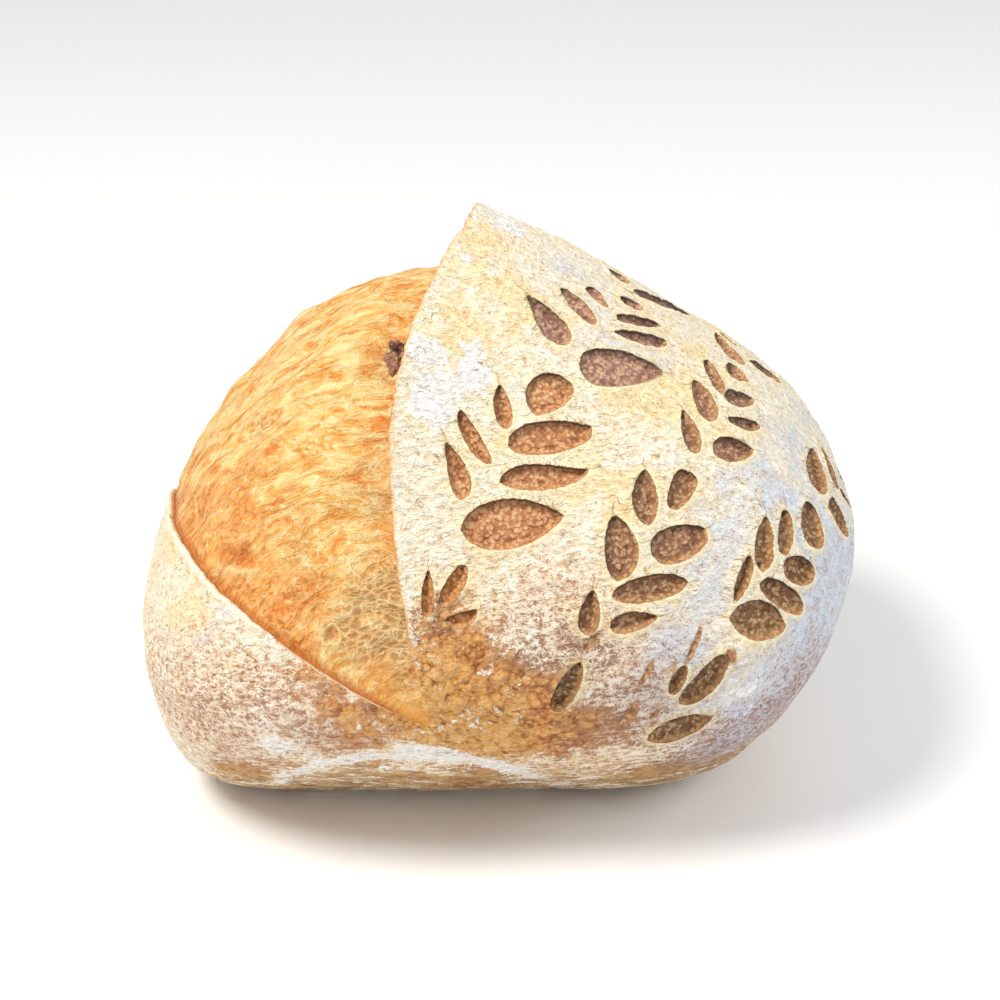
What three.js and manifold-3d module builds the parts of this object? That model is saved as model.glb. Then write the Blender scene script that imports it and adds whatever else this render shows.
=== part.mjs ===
// A round sourdough loaf, opened by one deep score and decorated with wheat-ear cuts.
// The crust is lofted around the score: every station is one closed ring that runs from
// the edge of the raised ear, over the right shoulder, across the base and up the left
// side to the torn lip, then over the burst crumb and back under the ear.
// Millimetres, +Z up, the front end of the score towards -Y.
import * as THREE from "three";
import { mergeVertices } from "three/addons/utils/BufferGeometryUtils.js";
import Module from "manifold-3d";

const wasm = await Module();
wasm.setup();

const DEGREE = Math.PI / 180;

// The heart is the point inside the loaf from which the crust is measured outwards.
const HEART = new THREE.Vector3(-21, 1.5, 62);
const REACH = { left: 83.5, right: 125.5, front: 97.5, back: 95, dome: 85, belly: 104 };
const FRONT_POWER = 3;       // squareness of the front half, seen from above
const BACK_POWER = 2.5;      // and of the rounder back half
const DOME_POWER = 1.6;      // fullness of the section above the heart
const BELLY_POWER = 1.85;    // fullness of the section below the heart
const LEAN = 0.105;          // rise of the widest line towards the right
const BASE_POWER = 16;       // tightness of the turn into the base
const BASE_TRIM = 2;         // crumb pressed flat by the baking stone
const ARCH_REACH = 79;       // slanting face under the front end, which arches off the stone
const ARCH_FACING = new THREE.Vector3(0, -Math.cos(47 * DEGREE), -Math.sin(47 * DEGREE));

// The score runs over the top from the front pole to the back pole.
const FRONT_PULL = new THREE.Vector3(0.04, 0, -0.08);
const BACK_PULL = new THREE.Vector3(0, 0, -0.15);
const EAR_DEGREES = [-11, -7, 8, 8, 0];       // longitude of the ear's edge, front to back
const LIP_DEGREES = [-60, -66, -81, -92, -70]; // longitude of the torn lip, front to back
const EAR_RISE = { height: 20.5, middle: 72, spread: 102, reach: 44, power: 1.5 };
const EAR_EDGE = 3;          // thickness of the ear at its edge
const EAR_UNDERCUT = 9;      // degrees by which the crumb goes in under the ear
const EAR_ROOT_SHARE = 0.3;  // how far the crumb climbs towards the ear at its root
const LIP_STEP = 1.8;        // crumb beside the lip, below the closed loaf's crust
const SCORE_END = 18;        // degrees over which the opening closes at each pole

// Wheat-ear cuts. Each leaf is given by its tip and its butt, both as degrees along the score
// and degrees of longitude, then by its two sides: how far each side reaches out from the
// line between tip and butt, in mm, and at what share of the way from the butt it does so,
// first on the left, seen with the tip up. The last number is its fullness at the butt: 0.5
// is round, more is pointed.
const CROWN_SPRIG = [
  [73.5, 17, 67, 26.5, 4.5, 0.3, 4.3, 0.3, 0.6],
  [78.5, 23.5, 73.5, 30.5, 2.8, 0.45, 3, 0.45, 0.5],
  [83, 28.5, 80, 32.5, 2.4, 0.6, 2.4, 0.6, 0.5],
  [97, 33, 95.5, 37.5, 4, 0.4, 3, 0.4, 0.6],
  [86.5, 35, 87, 39.5, 4, 0.6, 2, 0.5, 0.5],
  [101, 51, 92, 38, 3.5, 0.4, 3.8, 0.4, 0.5],
  [78, 34.5, 84.5, 43, 1.8, 0.5, 2.8, 0.65, 0.5],
  [74, 34, 80, 44, 3.5, 0.36, 1.9, 0.5, 0.5],
  [71, 44, 63, 29.5, 7.4, 0.36, 5.5, 0.36, 0.42],
];
const BROW_SPRIG = [
  [53, 22.5, 60, 29, 3.2, 0.5, 7.6, 0.5, 0.5],
  [56, 15, 49, 18, 2.6, 0.42, 2.3, 0.42, 0.6],
  [50.5, 7.5, 43, 16, 3.3, 0.48, 1.1, 0.48, 0.55],
  [45.5, 4.5, 36.5, 9.5, 1.7, 0.3, 3.8, 0.3, 0.45],
  [54.5, 34.5, 46.5, 19, 4.7, 0.34, 5, 0.6, 0.5],
  [48, 37, 40.5, 18.5, 3.6, 0.3, 4, 0.55, 0.7],
  [39.5, 36, 32, 10, 6.6, 0.42, 6.7, 0.42, 0.6],
];
const CHEEK_SPRIG = [
  [52, 46, 45, 51.5, 3.8, 0.43, 2.4, 0.43, 0.6],
  [55.5, 52.5, 49, 53, 2.9, 0.64, 3.2, 0.64, 0.5],
  [43.5, 45, 36, 53.5, 2.8, 0.45, 5.3, 0.42, 0.6],
  [50, 59.5, 42, 55.5, 4.7, 0.36, 4.6, 0.5, 0.45],
  [43, 63.5, 34, 55, 3.7, 0.5, 3, 0.5, 0.55],
  [37, 65, 31, 60.5, 2.9, 0.38, 2.3, 0.38, 0.5],
  [33, 50.5, 28, 58.5, 2.8, 0.35, 2.3, 0.35, 0.45],
];
const SHOULDER_SPRIG = [
  [98, 55, 88.5, 58, 4.8, 0.36, 3.4, 0.36, 0.5],
  [93.5, 60.5, 95.5, 66.5, 4.2, 0.65, 4, 0.5, 0.55],
  [85.5, 55.5, 82.5, 58.5, 5.8, 0.4, 2.2, 0.5, 0.5],
  [81.5, 51.5, 73, 53.5, 2.9, 0.55, 2.2, 0.5, 0.6],
  [73, 49, 65.5, 52.5, 2.9, 0.42, 3.7, 0.42, 0.5],
  [65, 48, 58.5, 52, 2.2, 0.38, 2.6, 0.38, 0.5],
  [78, 59, 72, 54.5, 3.9, 0.42, 2.4, 0.5, 0.6],
  [72, 60, 68, 55, 1.7, 0.45, 2.8, 0.5, 0.5],
  [66, 60, 60.5, 54.5, 4.6, 0.4, 3.2, 0.4, 0.6],
  [101.5, 56.5, 98.5, 59, 1.2, 0.45, 1.2, 0.45, 0.6],
];
const FLANK_SPRIG = [
  [79, 70, 70.5, 72, 5, 0.37, 3.4, 0.37, 0.5],
  [84, 72.5, 76, 75, 2.1, 0.4, 2.7, 0.4, 0.5],
  [72.5, 74, 71.5, 79.5, 6.5, 0.65, 2.6, 0.5, 0.5],
  [66, 70, 61.5, 74.5, 5, 0.38, 4.5, 0.6, 0.42],
  [61.5, 67.5, 56, 71, 2.4, 0.45, 2.3, 0.45, 0.45],
  [58, 65.5, 52, 70.5, 3, 0.42, 2.5, 0.42, 0.55],
  [55, 72, 59, 76.5, 4.2, 0.5, 3.7, 0.5, 0.5],
  [51, 71.5, 54.5, 79.5, 2.8, 0.5, 3.8, 0.5, 0.45],
  [52, 67, 46.5, 71.5, 1.4, 0.5, 2.2, 0.6, 0.8],
  [45, 73, 51.5, 80, 4.7, 0.5, 6, 0.52, 0.7],
  [84.5, 77, 83.5, 79, 1.5, 0.45, 1.5, 0.45, 0.5],
  [77.5, 76, 78.5, 79.5, 1.5, 0.45, 1.5, 0.45, 0.5],
];
const FOOT_SPRIG = [
  [25, 64, 19, 80, 3, 0.42, 2.8, 0.42, 0.5],
  [37.5, 77.5, 35.5, 84.5, 2.6, 0.45, 1.3, 0.45, 0.5],
  [43, 79, 36.5, 87.5, 3.2, 0.5, 4.8, 0.42, 0.5],
  [42, 93.5, 34, 99.5, 5.6, 0.42, 4.2, 0.42, 0.55],
];
const CHIN_SPRIG = [
  [26, 0, 19, -1, 1.8, 0.36, 1.5, 0.36, 0.45],
  [27, 13, 20.5, 5, 2.3, 0.52, 2.6, 0.52, 0.5],
  [21, 21, 18.5, 6.5, 0.6, 0.5, 3.5, 0.5, 0.6],
];
const TURNED_SPRIGS = [BROW_SPRIG, CHEEK_SPRIG, FLANK_SPRIG, FOOT_SPRIG];
const TURN = { along: 186, around: 12 }; // the back carries these sprigs again, turned about
const LEAF_DEPTH = 1.9;
const LEAF_FLOOR_SHARE = 0.8;  // width of a cut's floor against its mouth
const LEAF_CLEARANCE = 3;      // height of the cutter above the crust
const LEAF_STATIONS = [0.06, 0.26, 0.52, 0.78];

// A torn scab of crust hangs at the ear's edge.
const SCAB = { theta: 59, besideEar: -1, below: 4.5, size: new THREE.Vector3(3.4, 4.2, 4.8) };

const STATIONS = 34;
const CRUST_STEPS = 46;
const BLOOM_STEPS = 14;
const UNDERSIDE_STEPS = 3;

const earCurve = new THREE.SplineCurve(EAR_DEGREES.map((value, index) => new THREE.Vector2(index, value)));
const lipCurve = new THREE.SplineCurve(LIP_DEGREES.map((value, index) => new THREE.Vector2(index, value)));
const earLongitude = (theta) => earCurve.getPoint(theta / Math.PI).y * DEGREE;
const lipLongitude = (theta) => lipCurve.getPoint(theta / Math.PI).y * DEGREE;

// How far the score has opened: nothing at the poles, fully open from SCORE_END on.
function opening(theta) {
  const end = SCORE_END * DEGREE;
  return THREE.MathUtils.smoothstep(theta, 0, end) * THREE.MathUtils.smoothstep(Math.PI - theta, 0, end);
}

// Length of a list of parts in the norm of the given power.
function norm(power, ...parts) {
  return parts.reduce((sum, part) => sum + Math.abs(part) ** power, 0) ** (1 / power);
}

// Direction from the heart: theta counts from the front pole, phi from straight up to the right.
function bearing(theta, phi) {
  const pull = theta < Math.PI / 2 ? FRONT_PULL : BACK_PULL;
  return new THREE.Vector3(
    Math.sin(theta) * Math.sin(phi),
    -Math.cos(theta),
    Math.sin(theta) * Math.cos(phi),
  ).addScaledVector(pull, Math.cos(theta) ** 2).normalize();
}

// Distance from the heart to the crust of the closed loaf.
function crustReach(toward) {
  const rise = toward.z - LEAN * toward.x;
  const acrossReach = toward.x < 0 ? REACH.left : REACH.right;
  const alongReach = toward.y < 0 ? REACH.front : REACH.back;
  const planPower = toward.y < 0 ? FRONT_POWER : BACK_POWER;
  const plan = norm(planPower, toward.x / acrossReach, toward.y / alongReach);
  const body = rise > 0
    ? norm(DOME_POWER, plan, rise / REACH.dome)
    : norm(BELLY_POWER, plan, rise / REACH.belly);
  const base = Math.max(-toward.z, 0) / HEART.z;
  const arch = Math.max(toward.dot(ARCH_FACING), 0) / ARCH_REACH;
  return 1 / norm(BASE_POWER, body, base, arch);
}

// The ear lifts the crust beside the score, most at its edge.
function earLift(theta, phi) {
  const offMiddle = (theta / DEGREE - EAR_RISE.middle) / EAR_RISE.spread;
  const crest = EAR_RISE.height * Math.exp(-2 * offMiddle ** 2) * Math.sin(theta) ** 0.8;
  const fromEdge = (phi - earLongitude(theta)) / DEGREE / EAR_RISE.reach;
  return crest * THREE.MathUtils.clamp(1 - fromEdge, 0, 1) ** EAR_RISE.power;
}

// A point at a given distance from the heart, pressed flat where it meets the stone.
function pointAt(theta, phi, distance) {
  const point = bearing(theta, phi).multiplyScalar(distance).add(HEART);
  point.z = Math.max(point.z - BASE_TRIM, 0);
  return point;
}

const closedReach = (theta, phi) => crustReach(bearing(theta, phi));
const crustPoint = (theta, phi) => pointAt(theta, phi, closedReach(theta, phi) + earLift(theta, phi));

// One ring around the loaf, starting at the ear's edge.
function ringAt(theta) {
  const open = opening(theta);
  const ear = earLongitude(theta);
  const lip = lipLongitude(theta);
  const root = ear + EAR_UNDERCUT * DEGREE * open;
  const lipRise = -LIP_STEP * open;
  const rootRise = lipRise + EAR_ROOT_SHARE * earLift(theta, root);
  const ring = [];
  for (let step = 0; step <= CRUST_STEPS; step += 1) {
    ring.push(crustPoint(theta, ear + (lip + 2 * Math.PI - ear) * step / CRUST_STEPS));
  }
  for (let step = 0; step <= BLOOM_STEPS; step += 1) {
    const share = step / BLOOM_STEPS;
    const phi = THREE.MathUtils.lerp(lip, root, share);
    const rise = THREE.MathUtils.lerp(lipRise, rootRise, share ** 8);
    ring.push(pointAt(theta, phi, closedReach(theta, phi) + rise));
  }
  const rootReach = closedReach(theta, root) + rootRise;
  const edgeReach = closedReach(theta, ear) + earLift(theta, ear) - EAR_EDGE * open;
  for (let step = 1; step <= UNDERSIDE_STEPS; step += 1) {
    const share = step / UNDERSIDE_STEPS;
    const phi = THREE.MathUtils.lerp(root, ear, share ** 1.4);
    ring.push(pointAt(theta, phi, THREE.MathUtils.lerp(rootReach, edgeReach, share)));
  }
  return ring;
}

// The whole loaf as one closed skin: rings between two poles.
function loafGeometry() {
  const rings = [];
  for (let station = 1; station < STATIONS; station += 1) {
    rings.push(ringAt(Math.PI * station / STATIONS));
  }
  const count = rings[0].length;
  const frontPole = rings.length * count;
  const backPole = frontPole + 1;
  const points = [...rings.flat(), crustPoint(0, 0), crustPoint(Math.PI, 0)];
  const faces = [];
  for (let spoke = 0; spoke < count; spoke += 1) {
    const next = (spoke + 1) % count;
    faces.push(frontPole, next, spoke);
    for (let ring = 0; ring < rings.length - 1; ring += 1) {
      const here = ring * count;
      const beyond = here + count;
      faces.push(here + spoke, here + next, beyond + next, here + spoke, beyond + next, beyond + spoke);
    }
    const last = (rings.length - 1) * count;
    faces.push(backPole, last + spoke, last + next);
  }
  return skin(points, faces);
}

// Indexed geometry from a list of points and a list of corner numbers.
function skin(points, faces) {
  const geometry = new THREE.BufferGeometry().setFromPoints(points);
  geometry.setIndex(faces);
  return geometry;
}

// Solid for cutting and joining.
function solid(geometry) {
  geometry.deleteAttribute("normal");
  geometry.deleteAttribute("uv");
  const merged = mergeVertices(geometry, 1e-4);
  return new wasm.Manifold(new wasm.Mesh({
    numProp: 3,
    vertProperties: new Float32Array(merged.attributes.position.array),
    triVerts: new Uint32Array(merged.index.array),
  }));
}

// The plane that a leaf is drawn on: touching the crust at the leaf's middle.
function leafPlane([tipTheta, tipPhi, buttTheta, buttPhi]) {
  const butt = crustPoint(buttTheta * DEGREE, buttPhi * DEGREE);
  const tip = crustPoint(tipTheta * DEGREE, tipPhi * DEGREE);
  const theta = (tipTheta + buttTheta) / 2 * DEGREE;
  const phi = (tipPhi + buttPhi) / 2 * DEGREE;
  const along = tip.clone().sub(butt);
  const length = along.length();
  along.normalize();
  const outward = bearing(theta, phi);
  const across = new THREE.Vector3().crossVectors(outward, along).normalize();
  outward.crossVectors(along, across);
  return { butt, theta, phi, along, across, outward, length };
}

// The place on the crust that lies at a given spot of the leaf's plane.
function crustUnder(leaf, reachAlong, reachAcross) {
  const nudge = 1e-3;
  let { theta, phi } = leaf;
  for (let round = 0; round < 6; round += 1) {
    const here = crustPoint(theta, phi);
    const byTheta = crustPoint(theta + nudge, phi).sub(here).divideScalar(nudge);
    const byPhi = crustPoint(theta, phi + nudge).sub(here).divideScalar(nudge);
    const miss = here.sub(leaf.butt);
    const missAlong = reachAlong - miss.dot(leaf.along);
    const missAcross = reachAcross - miss.dot(leaf.across);
    const a = byTheta.dot(leaf.along);
    const b = byPhi.dot(leaf.along);
    const c = byTheta.dot(leaf.across);
    const d = byPhi.dot(leaf.across);
    const determinant = a * d - b * c;
    theta += (missAlong * d - missAcross * b) / determinant;
    phi += (missAcross * a - missAlong * c) / determinant;
  }
  return crustPoint(theta, phi);
}

// How far one side of a leaf reaches out at a share of its length from the butt.
function leafSide(share, reach, widest, fullness) {
  const taper = fullness * (1 - widest) / widest;
  return reach * (share / widest) ** fullness * ((1 - share) / (1 - widest)) ** taper;
}

// The body that a leaf cut removes: a lid above the crust and a narrower floor below it.
function leafCutter(row) {
  const leaf = leafPlane(row);
  const [left, leftWidest, right, rightWidest, fullness] = row.slice(4);
  const outline = [[0, 0]];
  LEAF_STATIONS.forEach((share) => outline.push([share, leafSide(share, left, leftWidest, fullness)]));
  outline.push([1, 0]);
  [...LEAF_STATIONS].reverse().forEach((share) => {
    outline.push([share, -leafSide(share, right, rightWidest, fullness)]);
  });
  const lid = [];
  const floor = [];
  outline.forEach(([share, side]) => {
    const mouth = crustUnder(leaf, share * leaf.length, side);
    lid.push(mouth.addScaledVector(leaf.outward, LEAF_CLEARANCE));
    const shareInside = 0.5 + (share - 0.5) * LEAF_FLOOR_SHARE;
    const below = crustUnder(leaf, shareInside * leaf.length, side * LEAF_FLOOR_SHARE);
    floor.push(below.addScaledVector(leaf.outward, -LEAF_DEPTH));
  });
  const count = outline.length;
  const faces = [];
  for (let corner = 0; corner < count; corner += 1) {
    const next = (corner + 1) % count;
    faces.push(corner, next, count + next, corner, count + next, count + corner);
  }
  for (let left = 0, right = count; left < count / 2; left += 1, right -= 1) {
    const leftNext = left + 1;
    const rightNext = right - 1;
    const rightHere = right % count;
    if (left > 0) {
      faces.push(leftNext, left, rightHere, count + left, count + leftNext, count + rightHere);
    }
    if (leftNext < rightNext) {
      faces.push(rightHere, rightNext, leftNext, count + rightNext, count + rightHere, count + leftNext);
    }
  }
  return solid(skin([...lid, ...floor], faces));
}

// A leaf of the front as it lies on the back: mirrored, so its sides change places.
function turnedAbout([tipTheta, tipPhi, buttTheta, buttPhi, left, leftWidest, right, rightWidest, fullness]) {
  return [
    TURN.along - tipTheta, tipPhi + TURN.around, TURN.along - buttTheta, buttPhi + TURN.around,
    right, rightWidest, left, leftWidest, fullness,
  ];
}

function allLeaves() {
  const seenOnce = [CROWN_SPRIG, SHOULDER_SPRIG, CHIN_SPRIG].flat();
  const seenTwice = TURNED_SPRIGS.flat();
  return [...seenOnce, ...seenTwice, ...seenTwice.map(turnedAbout)];
}

// A rough lump, torn from the ear's edge.
function scab() {
  const lump = new THREE.IcosahedronGeometry(1, 1);
  lump.scale(SCAB.size.x, SCAB.size.y, SCAB.size.z);
  const theta = SCAB.theta * DEGREE;
  const phi = earLongitude(theta) + SCAB.besideEar * DEGREE;
  const place = pointAt(theta, phi, closedReach(theta, phi) + earLift(theta, earLongitude(theta)) - SCAB.below);
  lump.translate(place.x, place.y, place.z);
  return solid(lump);
}

let body = solid(loafGeometry()).add(scab());
allLeaves().forEach((row) => {
  body = body.subtract(leafCutter(row));
});

const carved = body.getMesh();
const crust = new THREE.BufferGeometry();
crust.setAttribute("position", new THREE.BufferAttribute(new Float32Array(carved.vertProperties), 3));
crust.setIndex(new THREE.BufferAttribute(new Uint32Array(carved.triVerts), 1));
crust.computeVertexNormals();

const loaf = new THREE.Mesh(
  crust,
  new THREE.MeshStandardMaterial({ color: 0xd9bf94, roughness: 0.85, metalness: 0 }),
);
loaf.name = "loaf";

const group = new THREE.Group();
group.add(loaf);

export default group;
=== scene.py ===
"""The looks of the sourdough loaf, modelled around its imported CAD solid.

The skin is the same loft around the score as in the part's source, on a fine grid of rings. It is
divided by longitude into closed wedges that meet along shared rows of points: the ear, the
shoulder, the flank, the base, the left crust and the burst crumb. Lengths are in millimetres until
a mesh is made. Angles are in degrees in the constants, and in radians in the functions.
"""

import itertools
import math

import bmesh
import bpy
import numpy as np
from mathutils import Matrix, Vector


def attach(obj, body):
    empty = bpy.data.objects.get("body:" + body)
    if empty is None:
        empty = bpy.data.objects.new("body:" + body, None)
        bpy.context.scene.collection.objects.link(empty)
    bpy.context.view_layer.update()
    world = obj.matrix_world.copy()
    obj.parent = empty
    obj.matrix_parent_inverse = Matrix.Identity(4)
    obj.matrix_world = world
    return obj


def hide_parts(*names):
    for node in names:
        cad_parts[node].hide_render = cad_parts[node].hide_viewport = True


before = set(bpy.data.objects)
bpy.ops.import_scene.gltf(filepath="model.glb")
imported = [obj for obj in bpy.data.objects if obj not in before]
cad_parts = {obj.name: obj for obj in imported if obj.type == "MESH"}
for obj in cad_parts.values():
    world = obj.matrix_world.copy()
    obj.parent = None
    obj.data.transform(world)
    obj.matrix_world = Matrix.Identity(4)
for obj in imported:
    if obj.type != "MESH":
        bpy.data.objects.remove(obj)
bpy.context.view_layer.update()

MM = 0.001
DEGREE = math.pi / 180

# ---------------------------------------------------------------- the form, as in the part's source

# The heart is the point inside the loaf from which the crust is measured outwards.
HEART = np.array([-21.0, 1.5, 62.0])
REACH = {"left": 83.5, "right": 125.5, "front": 97.5, "back": 95.0, "dome": 85.0, "belly": 104.0}
FRONT_POWER = 3.0        # squareness of the front half, seen from above
BACK_POWER = 2.5         # and of the rounder back half
DOME_POWER = 1.6         # fullness of the section above the heart
BELLY_POWER = 1.85       # and of the section below it
LEAN = 0.105             # rise of the widest line towards the right
BASE_POWER = 16.0        # tightness of the turn into the base
BASE_TRIM = 2.0          # crumb pressed flat by the baking stone
ARCH_REACH = 79.0        # to the slanting face under the front end
ARCH_FACING = np.array([0.0, -math.cos(47 * DEGREE), -math.sin(47 * DEGREE)])

# The score runs over the top from the front pole to the back pole.
FRONT_PULL = np.array([0.04, 0.0, -0.08])
BACK_PULL = np.array([0.0, 0.0, -0.15])
EAR_DEGREES = [-11, -7, 8, 8, 0]  # longitude of the ear's edge, front to back
LIP_DEGREES = [-60, -66, -81, -92, -70]  # longitude of the torn lip, front to back
EAR_RISE = {
    "height": 20.5, "middle": 72.0, "spread": 102.0, "fall": 2.0, "ends": 0.8, "reach": 44.0, "power": 1.5,
}
EAR_EDGE = 3.0           # thickness of the ear at its edge
EAR_UNDERCUT = 9.0       # degrees by which the crumb goes in under the ear
EAR_ROOT_SHARE = 0.3     # how far the crumb climbs towards the ear at its root
LIP_STEP = 1.8           # crumb beside the lip, below the closed loaf's crust
SCORE_END = 18.0         # degrees over which the opening closes at each pole

# Each leaf is given by its tip and its butt, both as degrees along the score and degrees of
# longitude, then by how far each side reaches out from the line between them, in mm, and at what
# share of the way from the butt, left side first, and by its fullness at the butt: 0.5 is round.
SPRIGS = {
    "crown": [
        (73.5, 17, 67, 26.5, 4.5, 0.3, 4.3, 0.3, 0.6), (78.5, 23.5, 73.5, 30.5, 2.8, 0.45, 3, 0.45, 0.5),
        (83, 28.5, 80, 32.5, 2.4, 0.6, 2.4, 0.6, 0.5), (97, 33, 95.5, 37.5, 4, 0.4, 3, 0.4, 0.6),
        (86.5, 35, 87, 39.5, 4, 0.6, 2, 0.5, 0.5), (101, 51, 92, 38, 3.5, 0.4, 3.8, 0.4, 0.5),
        (78, 34.5, 84.5, 43, 1.8, 0.5, 2.8, 0.65, 0.5), (74, 34, 80, 44, 3.5, 0.36, 1.9, 0.5, 0.5),
        (71, 44, 63, 29.5, 7.4, 0.36, 5.5, 0.36, 0.42),
    ],
    "brow": [
        (53, 22.5, 60, 29, 3.2, 0.5, 7.6, 0.5, 0.5), (56, 15, 49, 18, 2.6, 0.42, 2.3, 0.42, 0.6),
        (50.5, 7.5, 43, 16, 3.3, 0.48, 1.1, 0.48, 0.55), (45.5, 4.5, 36.5, 9.5, 1.7, 0.3, 3.8, 0.3, 0.45),
        (54.5, 34.5, 46.5, 19, 4.7, 0.34, 5, 0.6, 0.5), (48, 37, 40.5, 18.5, 3.6, 0.3, 4, 0.55, 0.7),
        (39.5, 36, 32, 10, 6.6, 0.42, 6.7, 0.42, 0.6),
    ],
    "cheek": [
        (52, 46, 45, 51.5, 3.8, 0.43, 2.4, 0.43, 0.6), (55.5, 52.5, 49, 53, 2.9, 0.64, 3.2, 0.64, 0.5),
        (43.5, 45, 36, 53.5, 2.8, 0.45, 5.3, 0.42, 0.6), (50, 59.5, 42, 55.5, 4.7, 0.36, 4.6, 0.5, 0.45),
        (43, 63.5, 34, 55, 3.7, 0.5, 3, 0.5, 0.55), (37, 65, 31, 60.5, 2.9, 0.38, 2.3, 0.38, 0.5),
        (33, 50.5, 28, 58.5, 2.8, 0.35, 2.3, 0.35, 0.45),
    ],
    "shoulder": [
        (98, 55, 88.5, 58, 4.8, 0.36, 3.4, 0.36, 0.5), (93.5, 60.5, 95.5, 66.5, 4.2, 0.65, 4, 0.5, 0.55),
        (85.5, 55.5, 82.5, 58.5, 5.8, 0.4, 2.2, 0.5, 0.5), (81.5, 51.5, 73, 53.5, 2.9, 0.55, 2.2, 0.5, 0.6),
        (73, 49, 65.5, 52.5, 2.9, 0.42, 3.7, 0.42, 0.5), (65, 48, 58.5, 52, 2.2, 0.38, 2.6, 0.38, 0.5),
        (78, 59, 72, 54.5, 3.9, 0.42, 2.4, 0.5, 0.6), (72, 60, 68, 55, 1.7, 0.45, 2.8, 0.5, 0.5),
        (66, 60, 60.5, 54.5, 4.6, 0.4, 3.2, 0.4, 0.6), (101.5, 56.5, 98.5, 59, 1.2, 0.45, 1.2, 0.45, 0.6),
    ],
    "flank": [
        (79, 70, 70.5, 72, 5, 0.37, 3.4, 0.37, 0.5), (84, 72.5, 76, 75, 2.1, 0.4, 2.7, 0.4, 0.5),
        (72.5, 74, 71.5, 79.5, 6.5, 0.65, 2.6, 0.5, 0.5), (66, 70, 61.5, 74.5, 5, 0.38, 4.5, 0.6, 0.42),
        (61.5, 67.5, 56, 71, 2.4, 0.45, 2.3, 0.45, 0.45), (58, 65.5, 52, 70.5, 3, 0.42, 2.5, 0.42, 0.55),
        (55, 72, 59, 76.5, 4.2, 0.5, 3.7, 0.5, 0.5), (51, 71.5, 54.5, 79.5, 2.8, 0.5, 3.8, 0.5, 0.45),
        (52, 67, 46.5, 71.5, 1.4, 0.5, 2.2, 0.6, 0.8), (45, 73, 51.5, 80, 4.7, 0.5, 6, 0.52, 0.7),
        (84.5, 77, 83.5, 79, 1.5, 0.45, 1.5, 0.45, 0.5), (77.5, 76, 78.5, 79.5, 1.5, 0.45, 1.5, 0.45, 0.5),
    ],
    "foot": [
        (25, 64, 19, 80, 3, 0.42, 2.8, 0.42, 0.5), (37.5, 77.5, 35.5, 84.5, 2.6, 0.45, 1.3, 0.45, 0.5),
        (43, 79, 36.5, 87.5, 3.2, 0.5, 4.8, 0.42, 0.5), (42, 93.5, 34, 99.5, 5.6, 0.42, 4.2, 0.42, 0.55),
    ],
    "chin": [
        (26, 0, 19, -1, 1.8, 0.36, 1.5, 0.36, 0.45), (27, 13, 20.5, 5, 2.3, 0.52, 2.6, 0.52, 0.5),
        (21, 21, 18.5, 6.5, 0.6, 0.5, 3.5, 0.5, 0.6),
    ],
}
# On the back these sprigs come again, turned about the score's middle.
TURNED_SPRIGS = ("brow", "cheek", "flank", "foot")
TURN = {"along": 186, "around": 12}

# Nicks of the blade, too shallow for the part's source, in the same terms.
NICKS = [
    (41.5, 71.5, 37.5, 77.5, 0.8, 0.5, 0.8, 0.5, 0.6), (34, 73, 31, 79, 0.8, 0.5, 0.8, 0.5, 0.6),
    (31, 84, 29, 95, 1.7, 0.5, 1.7, 0.5, 0.6), (29.5, 60.5, 26, 61.5, 1, 0.5, 1, 0.5, 0.6),
    (34, 88, 33, 92, 0.7, 0.5, 0.7, 0.5, 0.6),
]
NICK_DEPTH = 0.45

# How orange and how dark the floors of each sprig have baked.
FLOOR_TONES = {
    "crown": (0.10, 0.15), "brow": (0.75, 0.00), "cheek": (0.45, 0.50), "shoulder": (0.30, 0.40),
    "flank": (0.80, 0.78), "foot": (0.60, 0.90), "chin": (1.0, 0.00), "nicks": (0.6, 0.50),
}

SCAB = {"theta": 59, "beside_ear": -1, "below": 4.5, "size": (3.2, 3.8, 4.8)}
SCAB_SPIKES = [(-0.80, -0.15, 0.58), (-0.99, -0.10, -0.08), (-0.72, -0.20, -0.66)]  # of its splinters

# ---------------------------------------------------------------- the grid

STATIONS = 540
FRONT_CROWDING = 0.33    # share by which the stations crowd towards the front pole
SEAM_DEGREES = {"ear": 42.0, "shoulder": 84.0, "flank": 126.0, "base": 234.0}  # where each wedge ends
CRUST_SPANS = ("ear", "shoulder", "flank", "base", "left")
COLUMNS = {
    "ear": 140, "shoulder": 170, "flank": 160, "base": 50, "left": 115,
    "lip": 3, "bloom": 150, "underside": 12, "edge": 4,
}
RUN = 96.0               # mm along the score for each radian of theta

# ---------------------------------------------------------------- noise

HASH_PRIMES = [np.uint32(prime) for prime in (374761393, 668265263, 2246822519, 3266489917)]
NOISE_GAIN = 1.3         # brings gradient noise to about -1 to 1
SLOPES = np.array(
    [[x, y, 0] for x in (-1, 1) for y in (-1, 1)]
    + [[x, 0, z] for x in (-1, 1) for z in (-1, 1)]
    + [[0, y, z] for y in (-1, 1) for z in (-1, 1)],
    float,
).T


def hashed(ix, iy, iz, seed):
    """A scrambled 32-bit number for each lattice point."""
    first, second, third, fourth = HASH_PRIMES
    h = ix.astype(np.uint32) * first + iy.astype(np.uint32) * second
    h = h + iz.astype(np.uint32) * third + np.uint32(seed * int(fourth) % 2**32)
    h = (h ^ (h >> np.uint32(15))) * third
    h = (h ^ (h >> np.uint32(13))) * fourth
    return h ^ (h >> np.uint32(16))


def lattice(points, size, steps):
    """The points' places in a lattice, the lattice cells around them, and each cell's offset."""
    places = points.reshape(-1, 3).T / size
    cell = np.floor(places).astype(np.int64)
    offsets = [np.array(offset)[:, None] for offset in itertools.product(steps, repeat=3)]
    return places, cell, offsets


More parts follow.
